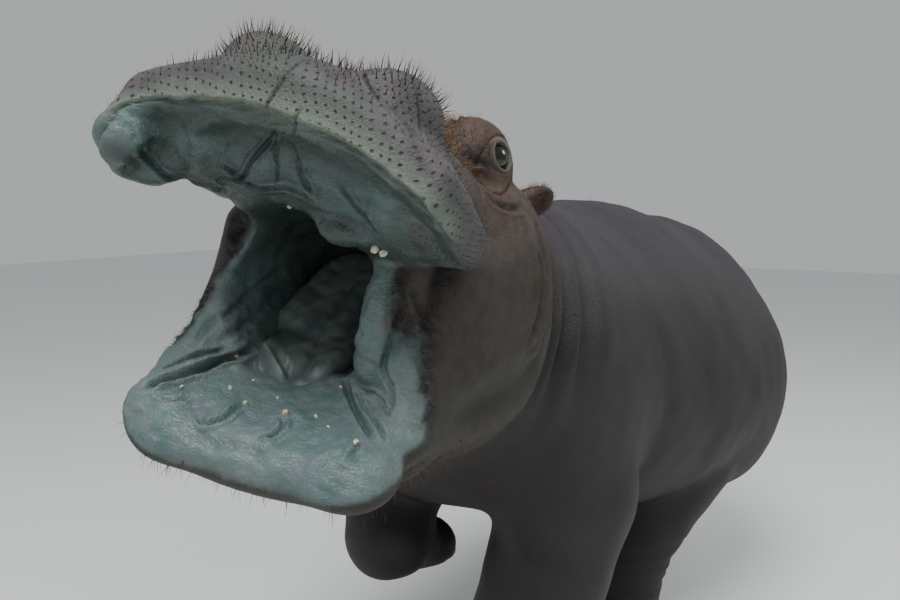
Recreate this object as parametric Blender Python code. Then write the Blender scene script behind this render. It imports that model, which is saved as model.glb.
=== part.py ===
"""A young hippopotamus with its mouth wide open, at life size.

The flesh is modelled whole, as one distance field made with Geometry Nodes: each
muscle, pad and bone is an ellipsoid, a box or a tapered limb, blended softly into
the rest. The field is meshed, thinned, and parted with thin cuts into the parts a
person would name. Metres, +Z up, nose towards -Y, the animal's own left at +X.
"""

import math

import bmesh
import bpy
from mathutils import Euler, Matrix, Vector

# ---- driving dimensions ----------------------------------------------------------
JAW_JOINT = Vector((0.0725, -0.5195, 0.73))  # middle of the two jaw joints
HEAD_TURN = math.radians(18)  # towards the animal's left
HEAD_LIFT = math.radians(22)  # nose up
HEAD_ROLL = math.radians(11)  # left cheek down
GAPE = math.radians(35)  # between the closed and the open jaw

GRID = 0.008  # spacing of the grid that the flesh is meshed on
BODY_FACES = 1330  # triangles left in the body's surface
FACE_FACES = 1560  # and in the head's
GAP = 0.0004  # width of the cut between two parts

EYE_AT = Vector((0.102, -0.114, 0.094))  # in the head's own frame, left eye
EYE_RADIUS = 0.018
EAR_AT = Vector((0.122, 0.034, 0.106))  # middle of the left ear's cup
FEET = {  # middle of the sole, and the way the toes point
    "forefoot_left": (Vector((0.055, -0.285, 0.0)), 0.0),
    "hindfoot_left": (Vector((0.066, 0.195, 0.0)), 0.0),
    "hindfoot_right": (Vector((-0.165, 0.455, 0.0)), 0.0),
}
TOES = (-54, -19, 19, 54)  # degrees round the front of each foot
PAW = Vector((-0.094, -0.212, 0.272))  # the lifted right forefoot
LOWER_TEETH = (  # x, y and radius, in the lower jaw's frame
    (0.093, -0.313, 0.0060),
    (0.047, -0.307, 0.0038),
    (0.021, -0.316, 0.0045),
    (0.062, -0.264, 0.0036),
)
UPPER_TEETH = ((0.013, -0.262, 0.0042), (0.080, -0.272, 0.0058))

HEAD = (
    Matrix.Rotation(HEAD_TURN, 3, "Z")
    @ Matrix.Rotation(-HEAD_LIFT, 3, "X")
    @ Matrix.Rotation(HEAD_ROLL, 3, "Y")
)
OPEN = Matrix.Rotation(GAPE, 3, "X")
LIP_MIDDLE = Vector((0.003, -0.386, -0.013))
LIP_ROLL = Matrix.Rotation(math.radians(7.5), 3, "Y")  # the lip hangs lower on the left


def on_head(x, y, z):
    """World place of a point given in the head's frame."""
    return JAW_JOINT + HEAD @ Vector((x, y, z))


def on_jaw(x, y, z):
    """World place of a point given in the lower jaw's frame, mouth closed."""
    return JAW_JOINT + HEAD @ OPEN @ Vector((x, y, z))


# ---- a solid as a distance field ---------------------------------------------------
class Clay:
    """A distance field that grows by blending shapes in and out."""

    def __init__(self, name):
        self.tree = bpy.data.node_groups.new(name, "GeometryNodeTree")
        self.tree.interface.new_socket(
            "Geometry", in_out="OUTPUT", socket_type="NodeSocketGeometry"
        )
        self.world = self.node("GeometryNodeInputPosition").outputs[0]
        self.distance = None

    def node(self, kind, inputs=(), **settings):
        made = self.tree.nodes.new(kind)
        for key, value in settings.items():
            setattr(made, key, value)
        pairs = inputs.items() if isinstance(inputs, dict) else enumerate(inputs)
        for key, value in pairs:
            if isinstance(value, bpy.types.NodeSocket):
                self.tree.links.new(value, made.inputs[key])
            else:
                made.inputs[key].default_value = value
        return made

    def math(self, operation, *values):
        return self.node("ShaderNodeMath", values, operation=operation).outputs[0]

    def vector(self, operation, *values):
        made = self.node("ShaderNodeVectorMath", values, operation=operation)
        single = operation in ("LENGTH", "DOT_PRODUCT")
        return made.outputs["Value" if single else "Vector"]

    def parts(self, place):
        return self.node("ShaderNodeSeparateXYZ", (place,)).outputs

    def joined(self, x, y, z):
        return self.node("ShaderNodeCombineXYZ", (x, y, z)).outputs[0]

    def placed(self, place, origin, turn):
        """The place as read in a frame at origin, turned by a 3x3 matrix."""
        away = self.vector("SUBTRACT", place, tuple(origin))
        return self.joined(
            *(self.vector("DOT_PRODUCT", away, tuple(turn.col[i])) for i in range(3))
        )

    def swung(self, place, pivot, turn):
        """The place as read in a frame turned about a pivot."""
        return self.vector("ADD", self.placed(place, pivot, turn), tuple(pivot))

    def mirrored(self, place):
        x, y, z = self.parts(place)
        return self.joined(self.math("ABSOLUTE", x), y, z)

    def arched(self, place, back, drop):
        """A frame where a rim that runs back and drops to the sides is straight."""
        x, y, z = self.parts(place)
        square = self.math("MULTIPLY", x, x)
        y = self.math("MULTIPLY_ADD", square, -back, y)
        return self.joined(x, y, self.math("MULTIPLY_ADD", square, drop, z))

    def moved(self, place, centre, tilt):
        if tilt is None:
            return self.vector("SUBTRACT", place, tuple(centre))
        turn = Euler([math.radians(angle) for angle in tilt]).to_matrix()
        return self.placed(place, centre, turn)

    def ellipsoid(self, place, centre, radii, tilt=None):
        away = self.moved(place, centre, tilt)
        near = self.vector("LENGTH", self.vector("DIVIDE", away, tuple(radii)))
        squares = tuple(radius * radius for radius in radii)
        slope = self.vector("LENGTH", self.vector("DIVIDE", away, squares))
        rise = self.math("MULTIPLY", near, self.math("SUBTRACT", near, 1.0))
        return self.math("DIVIDE", rise, self.math("MAXIMUM", slope, 1e-5))

    def box(self, place, centre, half, edge, tilt=None):
        away = self.vector("ABSOLUTE", self.moved(place, centre, tilt))
        away = self.vector("SUBTRACT", away, tuple(size - edge for size in half))
        outside = self.vector("LENGTH", self.vector("MAXIMUM", away, (0, 0, 0)))
        x, y, z = self.parts(away)
        inside = self.math("MAXIMUM", self.math("MAXIMUM", x, y), z)
        inside = self.math("MINIMUM", inside, 0.0)
        return self.math("SUBTRACT", self.math("ADD", outside, inside), edge)

    def limb(self, place, start, end, radius, end_radius):
        """A tapered rod with round ends."""
        along = Vector(end) - Vector(start)
        away = self.vector("SUBTRACT", place, tuple(start))
        share = self.vector("DOT_PRODUCT", away, tuple(along / along.length_squared))
        share = self.math("MINIMUM", self.math("MAXIMUM", share, 0.0), 1.0)
        reach = self.node("ShaderNodeVectorMath", (tuple(along),), operation="SCALE")
        self.tree.links.new(share, reach.inputs["Scale"])
        off = self.vector("LENGTH", self.vector("SUBTRACT", away, reach.outputs[0]))
        size = self.math("MULTIPLY_ADD", share, end_radius - radius, radius)
        return self.math("SUBTRACT", off, size)

    def add(self, shape, blend):
        if self.distance is None:
            self.distance = shape
        else:
            self.distance = self.math("SMOOTH_MIN", self.distance, shape, blend)

    def cut(self, shape, blend):
        away = self.math("MULTIPLY", shape, -1.0)
        self.distance = self.math("SMOOTH_MAX", self.distance, away, blend)

    def chain(self, place, points, radii, blend):
        for i in range(len(points) - 1):
            self.add(
                self.limb(place, points[i], points[i + 1], radii[i], radii[i + 1]),
                blend,
            )

    def mesh(self, low, high, spacing, outset=0.0):
        """The closed surface at a distance from the field's own, as a new mesh."""
        low = Vector(low)
        high = Vector(high)
        counts = [max(8, round(size / spacing)) for size in high - low]
        depth = self.math("MULTIPLY", self.distance, -1.0)
        cube = self.node(
            "GeometryNodeVolumeCube",
            {
                "Density": depth,
                "Background": -1.0,
                "Min": low,
                "Max": high,
                "Resolution X": counts[0],
                "Resolution Y": counts[1],
                "Resolution Z": counts[2],
            },
        )
        surface = self.node(
            "GeometryNodeVolumeToMesh",
            {"Volume": cube.outputs[0], "Threshold": -outset},
        )
        self.node("NodeGroupOutput", (surface.outputs[0],))
        holder = bpy.data.objects.new("clay", bpy.data.meshes.new("clay"))
        bpy.context.scene.collection.objects.link(holder)
        holder.modifiers.new("clay", "NODES").node_group = self.tree
        graph = bpy.context.evaluated_depsgraph_get()
        made = bpy.data.meshes.new_from_object(holder.evaluated_get(graph))
        bpy.data.objects.remove(holder)
        bpy.data.node_groups.remove(self.tree)
        return made


# ---- the flesh ---------------------------------------------------------------------
def add_trunk(clay):
    world = clay.world
    clay.add(clay.ellipsoid(world, (0, -0.20, 0.580), (0.235, 0.28, 0.215)), 0.05)
    clay.add(clay.ellipsoid(world, (0, 0.12, 0.530), (0.262, 0.42, 0.262)), 0.12)
    clay.add(clay.ellipsoid(world, (0.0, 0.33, 0.450), (0.295, 0.41, 0.215)), 0.12)
    clay.add(clay.ellipsoid(world, (0.0, 0.46, 0.505), (0.235, 0.285, 0.250)), 0.12)


def add_neck(clay):
    nape = on_head(0, 0.05, 0.01)
    throat = on_head(0, 0.05, -0.12)
    clay.add(clay.limb(clay.world, nape, (0, -0.25, 0.585), 0.142, 0.198), 0.08)
    clay.add(clay.limb(clay.world, throat, (0, -0.28, 0.55), 0.125, 0.15), 0.08)


def add_skull(clay, head):
    both = clay.mirrored(head)
    clay.add(clay.ellipsoid(head, (0, 0.0, 0.05), (0.118, 0.12, 0.085)), 0.05)
    bridge = clay.limb(head, (0, -0.06, 0.055), (0, -0.27, 0.030), 0.092, 0.060)
    clay.add(bridge, 0.04)
    clay.add(clay.ellipsoid(both, (0.100, -0.04, 0.015), (0.055, 0.10, 0.08)), 0.05)
    side = clay.ellipsoid(both, (0.078, -0.170, 0.008), (0.046, 0.090, 0.052))
    clay.add(side, 0.04)
    brow = clay.ellipsoid(both, (0.076, -0.100, 0.096), (0.036, 0.052, 0.042))
    clay.add(brow, 0.035)


def add_muzzle(clay, head):
    nose = clay.swung(head, LIP_MIDDLE, LIP_ROLL)
    lip = clay.arched(nose, 0.95, 1.5)
    both = clay.mirrored(nose)
    rim = clay.box(lip, (-0.005, -0.311, 0.013), (0.160, 0.077, 0.025), 0.018)
    clay.add(rim, 0.03)
    pad = clay.ellipsoid(lip, (-0.008, -0.306, 0.026), (0.150, 0.080, 0.042))
    clay.add(pad, 0.02)
    flare = clay.ellipsoid(head, (-0.152, -0.315, -0.034), (0.036, 0.052, 0.030))
    clay.add(flare, 0.03)
    back = clay.ellipsoid(both, (0.064, -0.245, 0.020), (0.048, 0.080, 0.044))
    clay.add(back, 0.03)
    nostril = clay.ellipsoid(both, (0.061, -0.314, 0.046), (0.044, 0.050, 0.036))
    clay.add(nostril, 0.022)
    lining = clay.ellipsoid(lip, (0, -0.275, -0.012), (0.140, 0.095, 0.034))
    clay.add(lining, 0.02)
    clay.cut(clay.ellipsoid(lip, (0, -0.336, -0.050), (0.152, 0.044, 0.043)), 0.012)
    flew = clay.ellipsoid(both, (0.098, -0.270, -0.026), (0.032, 0.060, 0.034))
    clay.add(flew, 0.02)
    gum = clay.box(head, (0, -0.215, -0.032), (0.088, 0.068, 0.027), 0.025)
    clay.add(gum, 0.015)
    clay.cut(clay.ellipsoid(head, (-0.020, -0.165, -0.080), (0.066, 0.085, 0.052)), 0.015)
    ridge = [(-0.06, -0.252, -0.048), (-0.02, -0.260, -0.060), (0.03, -0.268, -0.059)]
    ridge.append((0.075, -0.276, -0.062))
    clay.chain(head, ridge, [0.010, 0.014, 0.012, 0.008], 0.016)


def add_lower_jaw(clay, jaw):
    both = clay.mirrored(jaw)
    spade = clay.arched(jaw, 0.8, -0.9)
    bone = clay.limb(both, (0.085, 0.02, -0.10), (0.09, -0.22, -0.100), 0.06, 0.04)
    clay.add(bone, 0.04)
    clay.add(clay.ellipsoid(jaw, (0, -0.13, -0.110), (0.09, 0.18, 0.055)), 0.03)
    clay.add(clay.ellipsoid(jaw, (0, -0.235, -0.112), (0.112, 0.08, 0.044)), 0.03)
    plate = clay.box(
        spade, (-0.010, -0.277, -0.086), (0.132, 0.082, 0.028), 0.026, (9, 0, 0)
    )
    clay.add(plate, 0.02)
    clay.add(clay.ellipsoid(both, (0.085, -0.315, -0.090), (0.045, 0.048, 0.028)), 0.02)
    clay.add(clay.ellipsoid(both, (0.095, 0.0, -0.07), (0.055, 0.11, 0.10)), 0.07)


def add_cheeks(clay, head):
    """The web of the cheek from the upper jaw to the lower, and the mouth's hollow."""
    both = clay.mirrored(head)
    between = clay.placed(head, (0, 0, 0), Matrix.Rotation(GAPE / 2, 3, "X"))
    strands = 12
    for i in range(strands):
        share = i / (strands - 1)
        top = Vector((0.10, 0.0, -0.01)).lerp(Vector((0.114, -0.160, -0.04)), share)
        low = Vector((0.10, -0.02, -0.09)).lerp(Vector((0.118, -0.270, -0.072)), share)
        low = OPEN @ low
        middle = (top + low) / 2 - Vector((0.020 * share, 0, 0))
        radius = 0.052 * (1 - share) + 0.018 * share
        clay.add(clay.limb(both, top, middle, radius, radius * 1.2), 0.03)
        clay.add(clay.limb(both, middle, low, radius * 1.2, radius), 0.03)
    chew = clay.ellipsoid(both, (0.110, 0.0, -0.070), (0.058, 0.125, 0.12))
    clay.add(chew, 0.08)
    pad = clay.ellipsoid(clay.mirrored(between), (0.070, -0.182, -0.055), (0.036, 0.060, 0.082))
    clay.add(pad, 0.03)
    hollow = clay.ellipsoid(between, (-0.026, -0.25, -0.045), (0.062, 0.205, 0.080))
    clay.cut(hollow, 0.03)
    throat = clay.limb(between, (-0.018, 0.0, -0.035), (-0.042, -0.22, -0.045), 0.034, 0.045)
    clay.cut(throat, 0.03)


def add_foot(clay, name):
    sole, turn = FEET[name]
    middle = sole + Vector((0, -0.010, 0.045))
    tilt = (0, 0, turn)
    foot = clay.ellipsoid(clay.world, middle, (0.072, 0.084, 0.046), tilt)
    clay.add(foot, 0.02)


def add_forelegs(clay):
    world = clay.world
    foot = FEET["forefoot_left"][0]
    clay.add(clay.ellipsoid(world, (0.135, -0.21, 0.46), (0.10, 0.14, 0.20)), 0.06)
    clay.add(clay.ellipsoid(world, (-0.15, -0.21, 0.50), (0.10, 0.14, 0.16)), 0.06)
    points = [
        Vector((0.140, -0.20, 0.38)),
        Vector((0.112, -0.21, 0.26)),
        foot + Vector((0.007, 0.030, 0.13)),
        foot + Vector((0.0, 0.010, 0.05)),
    ]
    clay.chain(world, points, [0.10, 0.088, 0.068, 0.068], 0.03)
    add_foot(clay, "forefoot_left")
    wrist = Vector((-0.10, -0.30, 0.303))
    clay.add(clay.limb(world, (-0.14, -0.21, 0.43), wrist, 0.088, 0.064), 0.04)
    clay.add(clay.limb(world, wrist, (-0.094, -0.235, 0.277), 0.058, 0.044), 0.02)
    paw = clay.ellipsoid(world, PAW, (0.054, 0.042, 0.042))
    clay.add(paw, 0.012)


def add_hindlegs(clay):
    world = clay.world
    for side, name in ((1, "hindfoot_left"), (-1, "hindfoot_right")):
        foot = FEET[name][0]
        rump = (side * 0.15 + 0.02, 0.42, 0.43)
        clay.add(clay.ellipsoid(world, rump, (0.12, 0.18, 0.19)), 0.06)
        points = [
            Vector((side * 0.13, foot.y / 2 + 0.20, 0.32)),
            foot + Vector((side * 0.012, 0.040, 0.16)),
            foot + Vector((0.0, 0.010, 0.05)),
        ]
        clay.chain(world, points, [0.110, 0.070, 0.066], 0.03)
        add_foot(clay, name)


def add_tail(clay):
    world = clay.world
    points = [(0, 0.70, 0.635), (0, 0.772, 0.565), (0, 0.796, 0.480)]
    clay.chain(world, points, [0.040, 0.026, 0.017], 0.02)
    clay.add(clay.ellipsoid(world, (0, 0.800, 0.450), (0.013, 0.022, 0.040)), 0.015)


def flesh_field():
    clay = Clay("flesh")
    head = clay.placed(clay.world, JAW_JOINT, HEAD)
    jaw = clay.placed(head, (0, 0, 0), OPEN)
    add_trunk(clay)
    add_neck(clay)
    add_skull(clay, head)
    add_muzzle(clay, head)
    add_lower_jaw(clay, jaw)
    add_cheeks(clay, head)
    add_forelegs(clay)
    add_hindlegs(clay)
    add_tail(clay)
    floor = clay.math("MULTIPLY", clay.parts(clay.world)[2], -1.0)
    clay.distance = clay.math("SMOOTH_MAX", clay.distance, floor, 0.006)
    return clay


# ---- build --------------------------------------------------------------------------
def material(name, colour, roughness):
    made = bpy.data.materials.new(name)
    made.use_nodes = True
    shader = made.node_tree.nodes["Principled BSDF"]
    shader.inputs["Base Color"].default_value = (*colour, 1.0)
    shader.inputs["Roughness"].default_value = roughness
    return made


def new_object(name, mesh):
    made = bpy.data.objects.new(name, mesh)
    bpy.context.scene.collection.objects.link(made)
    return made


def with_modifiers(item):
    """Bakes an object's modifiers into its mesh."""
    graph = bpy.context.evaluated_depsgraph_get()
    made = bpy.data.meshes.new_from_object(item.evaluated_get(graph))
    item.modifiers.clear()
    item.data = made


def thinned(item, faces, chosen=None):
    """Collapses a mesh, or the region of it that chosen picks, to that many faces."""
    mesh = item.data
    mesh.calc_loop_triangles()
    shrink = item.modifiers.new("thin", "DECIMATE")
    total = len(mesh.loop_triangles)
    target = faces
    if chosen is not None:
        group = item.vertex_groups.new(name="thin")
        picked = {vertex.index for vertex in mesh.vertices if chosen(vertex.co)}
        group.add(list(picked), 1.0, "REPLACE")
        inside = sum(
            1 for face in mesh.loop_triangles if picked.issuperset(face.vertices)
        )
        target = faces + total - inside
        shrink.vertex_group = "thin"
        shrink.vertex_group_factor = 100.0
    shrink.ratio = target / total
    with_modifiers(item)
    item.vertex_groups.clear()


def boolean(item, cutter, operation):
    change = item.modifiers.new("cut", "BOOLEAN")
    change.operation = operation
    change.solver = "EXACT"
    change.object = cutter
    with_modifiers(item)


def block(centre, half, turn=None):
    """A box as a cutter."""
    mesh = bpy.data.meshes.new("block")
    shape = bmesh.new()
    bmesh.ops.create_cube(shape, size=2.0)
    bmesh.ops.scale(shape, vec=Vector(half), verts=shape.verts)
    if turn is not None:
        bmesh.ops.rotate(shape, matrix=turn, verts=shape.verts)
    bmesh.ops.translate(shape, vec=Vector(centre), verts=shape.verts)
    shape.to_mesh(mesh)
    shape.free()
    return new_object("block", mesh)


def carve(item, name, centre, half, turn=None):
    """Takes what lies in a box out of item, as a part of its own."""
    part = new_object(name, item.data.copy())
    inside = block(centre, half, turn)
    boolean(part, inside, "INTERSECT")
    outside = block(centre, [size + GAP for size in half], turn)
    boolean(item, outside, "DIFFERENCE")
    bpy.data.objects.remove(inside)
    bpy.data.objects.remove(outside)
    return part


def turn_to(axis, side):
    """A turn whose third axis is axis and whose first lies near side."""
    third = Vector(axis).normalized()
    second = third.cross(Vector(side)).normalized()
    first = second.cross(third)
    return Matrix((first, second, third)).transposed()


def grown(item, amount):
    """A copy of item with its surface moved out along its normals."""
    cutter = new_object("grown", item.data.copy())
    shape = bmesh.new()
    shape.from_mesh(cutter.data)
    shape.normal_update()
    places = [vertex.co + vertex.normal * amount for vertex in shape.verts]
    for vertex, place in zip(shape.verts, places):
        vertex.co = place
    shape.to_mesh(cutter.data)
    shape.free()
    return cutter


def seat(item, *hosts):
    """Lets item into the hosts, with a thin gap all round it."""
    for host in hosts:
        cutter = grown(item, GAP)
        boolean(host, cutter, "DIFFERENCE")
        bpy.data.objects.remove(cutter)


def ball(name, centre, radii, turn=None, segments=12, rings=8):
    mesh = bpy.data.meshes.new(name)
    shape = bmesh.new()
    bmesh.ops.create_uvsphere(shape, u_segments=segments, v_segments=rings, radius=1.0)
    bmesh.ops.scale(shape, vec=Vector(radii), verts=shape.verts)
    if turn is not None:
        bmesh.ops.rotate(shape, matrix=turn, verts=shape.verts)
    bmesh.ops.translate(shape, vec=Vector(centre), verts=shape.verts)
    bmesh.ops.triangulate(shape, faces=shape.faces)
    shape.to_mesh(mesh)
    shape.free()
    return new_object(name, mesh)


def largest_only(item):
    """Drops crumbs that a cut leaves beside the main piece."""
    shape = bmesh.new()
    shape.from_mesh(item.data)
    bmesh.ops.remove_doubles(shape, verts=shape.verts, dist=1e-6)
    left = set(shape.verts)
    pieces = []
    while left:
        piece = {left.pop()}
        edge = list(piece)
        while edge:
            vertex = edge.pop()
            for link in vertex.link_edges:
                other = link.other_vert(vertex)
                if other in left:
                    left.discard(other)
                    piece.add(other)
                    edge.append(other)
        pieces.append(piece)
    main = max(pieces, key=len)
    crumbs = [vertex for vertex in shape.verts if vertex not in main]
    bmesh.ops.delete(shape, geom=crumbs, context="VERTS")
    bmesh.ops.dissolve_degenerate(shape, dist=1e-6, edges=shape.edges)
    bmesh.ops.triangulate(shape, faces=shape.faces)
    shape.to_mesh(item.data)
    shape.free()


def make_flesh():
    mesh = flesh_field().mesh((-0.44, -1.02, -0.03), (0.44, 0.90, 1.08), GRID)
    flesh = new_object("trunk", mesh)

    def on_face(place):
        return place.y < JAW_JOINT.y + 0.10 and place.z > 0.42

    def off_face(place):
        return not on_face(place)

    thinned(flesh, BODY_FACES, off_face)
    thinned(flesh, FACE_FACES, on_face)
    return flesh


def part_flesh(flesh):
    """The named parts of the flesh; what is left of it is the trunk."""
    parts = {}
    back = HEAD @ Vector((0, 1, 0))
    turn = turn_to(-back, (1, 0, 0))
    centre = on_head(0, 0.105, -0.03) - back * 0.5
    head = carve(flesh, "head", centre, (0.3, 0.26, 0.5), turn)
    down = HEAD @ Matrix.Rotation(GAPE / 2, 3, "X") @ Vector((0, 0, -1))
    turn = turn_to(down, HEAD @ Vector((1, 0, 0)))
    centre = on_head(0, 0, 0) + down * 0.5
    parts["lower_jaw"] = carve(head, "lower_jaw", centre, (0.5, 0.7, 0.5), turn)
    parts["head"] = head
    axis = Vector((0.08, -0.90, 0.43)).normalized()
    turn = turn_to(axis, (1, 0, 0))
    centre = Vector((0, -0.315, 0.62)) + axis * 0.5
    parts["neck"] = carve(flesh, "neck", centre, (0.5, 0.32, 0.5), turn)
    parts["tail"] = carve(flesh, "tail", (0, 0.956, 0.52), (0.10, 0.20, 0.16))
    boxes = {
        "foreleg_left": ((0.110, -0.265, 0.1275), (0.140, 0.155, 0.1775)),
        "hindleg_left": ((0.085, 0.225, 0.0860), (0.115, 0.175, 0.1360)),
        "hindleg_right": ((-0.175, 0.475, 0.0860), (0.125, 0.175, 0.1360)),
    }
    for name, (centre, half) in boxes.items():
        leg = carve(flesh, name, centre, half)
        middle = (centre[0], centre[1], 0.015)
        foot = name.replace("leg", "foot")
        parts[foot] = carve(leg, foot, middle, (0.3, 0.3, 0.065))
        parts[name] = leg
    axis = Vector((0.25, -0.63, -0.735)).normalized()
    turn = turn_to(axis, (1, 0, 0))
    middle = Vector((-0.112, -0.262, 0.340)) + axis * 0.15 - turn.col[1] * 0.035
    leg = carve(flesh, "foreleg_right", middle, (0.12, 0.125, 0.15), turn)
    behind = (-0.09, -0.153, 0.24)
    parts["forefoot_right"] = carve(leg, "forefoot_right", behind, (0.1, 0.1, 0.075))
    parts["foreleg_right"] = leg
    parts["trunk"] = flesh
    return parts


def surface_height(item, place, axis):
    """Where a line through place, against axis, meets item."""
    start = place + axis * 0.15
    hit, where, _, _ = item.ray_cast(start, -axis)
    return where if hit else place


def add_teeth(head, jaw):
    up = HEAD @ OPEN @ Vector((0, 0, 1))
    for x, y, radius in LOWER_TEETH:
        for side in (1, -1):
            root = surface_height(jaw, on_jaw(x * side, y, -0.05), up)
            bud = ball("tooth", root, (radius, radius, radius * 1.3), None, 6, 4)
            boolean(jaw, bud, "UNION")
            bpy.data.objects.remove(bud)
    down = HEAD @ Vector((0, 0, -1))
    for x, y, radius in UPPER_TEETH:
        for side in (1, -1):
            root = surface_height(head, on_head(x * side, y, -0.05), down)
            bud = ball("tooth", root, (radius, radius, radius * 1.6), None, 6, 4)
            boolean(head, bud, "UNION")
            bpy.data.objects.remove(bud)


def make_eyes(head):
    eyes = {}
    for side, name in ((1, "eye_left"), (-1, "eye_right")):
        centre = on_head(EYE_AT.x * side, EYE_AT.y, EYE_AT.z)
        look = HEAD @ Vector((0.85 * side, -0.5, 0.12))
        turn = turn_to(look, (0, 0, 1))
        radii = (EYE_RADIUS, EYE_RADIUS, EYE_RADIUS)
        eyes[name] = ball(name, centre, radii, turn, 12, 8)
        seat(eyes[name], head)
    return eyes


def ear_mesh():
    """The left ear's cup about its own middle, open towards the side."""
    clay = Clay("ear")
    world = clay.world
    clay.add(clay.ellipsoid(world, (0, 0, 0), (0.017, 0.026, 0.033)), 0.01)
    clay.add(clay.limb(world, (0, 0, -0.015), (-0.010, 0, -0.045), 0.017, 0.020), 0.015)
    clay.cut(clay.ellipsoid(world, (0.018, -0.004, 0.006), (0.019, 0.018, 0.024)), 0.006)
    return clay.mesh((-0.05, -0.05, -0.08), (0.05, 0.05, 0.05), 0.0025)


def make_ears(head):
    ears = {}
    cup = ear_mesh()
    for side, name in ((1, "ear_left"), (-1, "ear_right")):
        ear = new_object(name, cup.copy())
        lean = Euler((math.radians(-38), math.radians(40), math.radians(-15)))
        place = Matrix.Translation(EAR_AT) @ lean.to_matrix().to_4x4()
        place = Matrix.Scale(side, 4, (1, 0, 0)) @ place
        place = Matrix.Translation(JAW_JOINT) @ HEAD.to_4x4() @ place
        ear.data.transform(place)
        if side < 0:
            ear.data.flip_normals()
        thinned(ear, 180)
        seat(ear, head)
        ears[name] = ear
    return ears


def make_tongue(jaw, head):
    clay = Clay("tongue")
    world = clay.world
    blade = clay.box(
        world, (-0.022, -0.168, -0.0520), (0.045, 0.076, 0.0135), 0.012, (5, 0, -7)
    )
    clay.add(blade, 0.01)
    root = clay.box(
        world, (-0.034, -0.088, -0.0340), (0.041, 0.078, 0.030), 0.020, (20, 0, -10)
    )
    clay.add(root, 0.02)
    groove = clay.limb(world, (-0.017, -0.22, -0.030), (-0.034, -0.04, 0.036), 0.018, 0.026)
    clay.cut(groove, 0.020)
    mesh = clay.mesh((-0.10, -0.30, -0.13), (0.08, 0.06, 0.06), 0.005)
    tongue = new_object("tongue", mesh)
    place = Matrix.Translation(JAW_JOINT) @ (HEAD @ OPEN).to_4x4()
    tongue.data.transform(place)
    thinned(tongue, 300)
    seat(tongue, jaw, head)
    return tongue


def make_nails(parts):
    nails = {}
    for foot, (sole, turn) in FEET.items():
        for i, angle in enumerate(TOES):
            way = math.radians(angle + turn)
            out = Vector((math.sin(way), -math.cos(way), 0))
            place = sole + Vector((0, -0.010, 0.021))
            place += Vector((out.x * 0.062, out.y * 0.073, 0))
            name = "nail_" + foot + "_" + str(i + 1)
            facing = turn_to(out + Vector((0, 0, 0.35)), (0, 0, 1))
            nail = ball(name, place, (0.015, 0.0125, 0.0085), facing, 8, 5)
            nails[name] = nail
            seat(nail, parts[foot])
    for i, angle in enumerate(TOES):
        way = math.radians(angle)
        out = Vector((math.sin(way), math.cos(way), -0.55)).normalized()
        place = PAW + Vector((out.x * 0.048, out.y * 0.037, out.z * 0.036))
        name = "nail_forefoot_right_" + str(i + 1)
        facing = turn_to(out, (0, 0, 1))
        nail = ball(name, place, (0.014, 0.012, 0.008), facing, 8, 5)
        nails[name] = nail
        seat(nail, parts["forefoot_right"])
    return nails


def stand_on_origin(parts):
    """Moves all parts so that the middle of their underside is the origin."""
    low = Vector((9, 9, 9))
    high = Vector((-9, -9, -9))
    for part in parts.values():
        for vertex in part.data.vertices:
            for i in range(3):
                low[i] = min(low[i], vertex.co[i])
                high[i] = max(high[i], vertex.co[i])
    shift = Vector(((low.x + high.x) / 2, (low.y + high.y) / 2, low.z))
    for part in parts.values():
        part.data.transform(Matrix.Translation(-shift))


def paint(parts):
    looks = {
        "body_skin": ((0.135, 0.115, 0.115), 0.62),
        "head_skin": ((0.235, 0.190, 0.180), 0.60),
        "mouth_lining": ((0.330, 0.330, 0.320), 0.42),
        "tongue_flesh": ((0.200, 0.170, 0.175), 0.45),
        "ear_skin": ((0.270, 0.165, 0.140), 0.65),
        "eye_gloss": ((0.030, 0.020, 0.016), 0.12),
        "nail_horn": ((0.100, 0.080, 0.070), 0.50),
    }
    made = {name: material(name, *look) for name, look in looks.items()}
    chosen = {
        "head": "head_skin",
        "lower_jaw": "mouth_lining",
        "tongue": "tongue_flesh",
        "ear_left": "ear_skin",
        "ear_right": "ear_skin",
        "eye_left": "eye_gloss",
        "eye_right": "eye_gloss",
    }
    for name, part in parts.items():
        look = "nail_horn" if name.startswith("nail") else chosen.get(name, "body_skin")
        part.data.materials.clear()
        part.data.materials.append(made[look])


def build():
    for item in list(bpy.data.objects):
        bpy.data.objects.remove(item)
    parts = part_flesh(make_flesh())
    add_teeth(parts["head"], parts["lower_jaw"])
    parts["tongue"] = make_tongue(parts["lower_jaw"], parts["head"])
    parts.update(make_eyes(parts["head"]))
    parts.update(make_ears(parts["head"]))
    parts.update(make_nails(parts))
    for part in parts.values():
        largest_only(part)
    stand_on_origin(parts)
    paint(parts)


build()
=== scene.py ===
"""A young hippopotamus with its mouth wide open, as a life-size museum model.

One skin is drawn from a soft distance field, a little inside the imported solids, and
folded, creased and pored in mesh code. Eyes, tongue, teeth and nails are pieces of
their own, and bristles and fine hairs grow from the skin's own pores.
"""

import math
from functools import partial

import bmesh
import bpy
import numpy as np
from mathutils import Euler, Matrix, Vector
from mathutils.kdtree import KDTree


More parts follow.
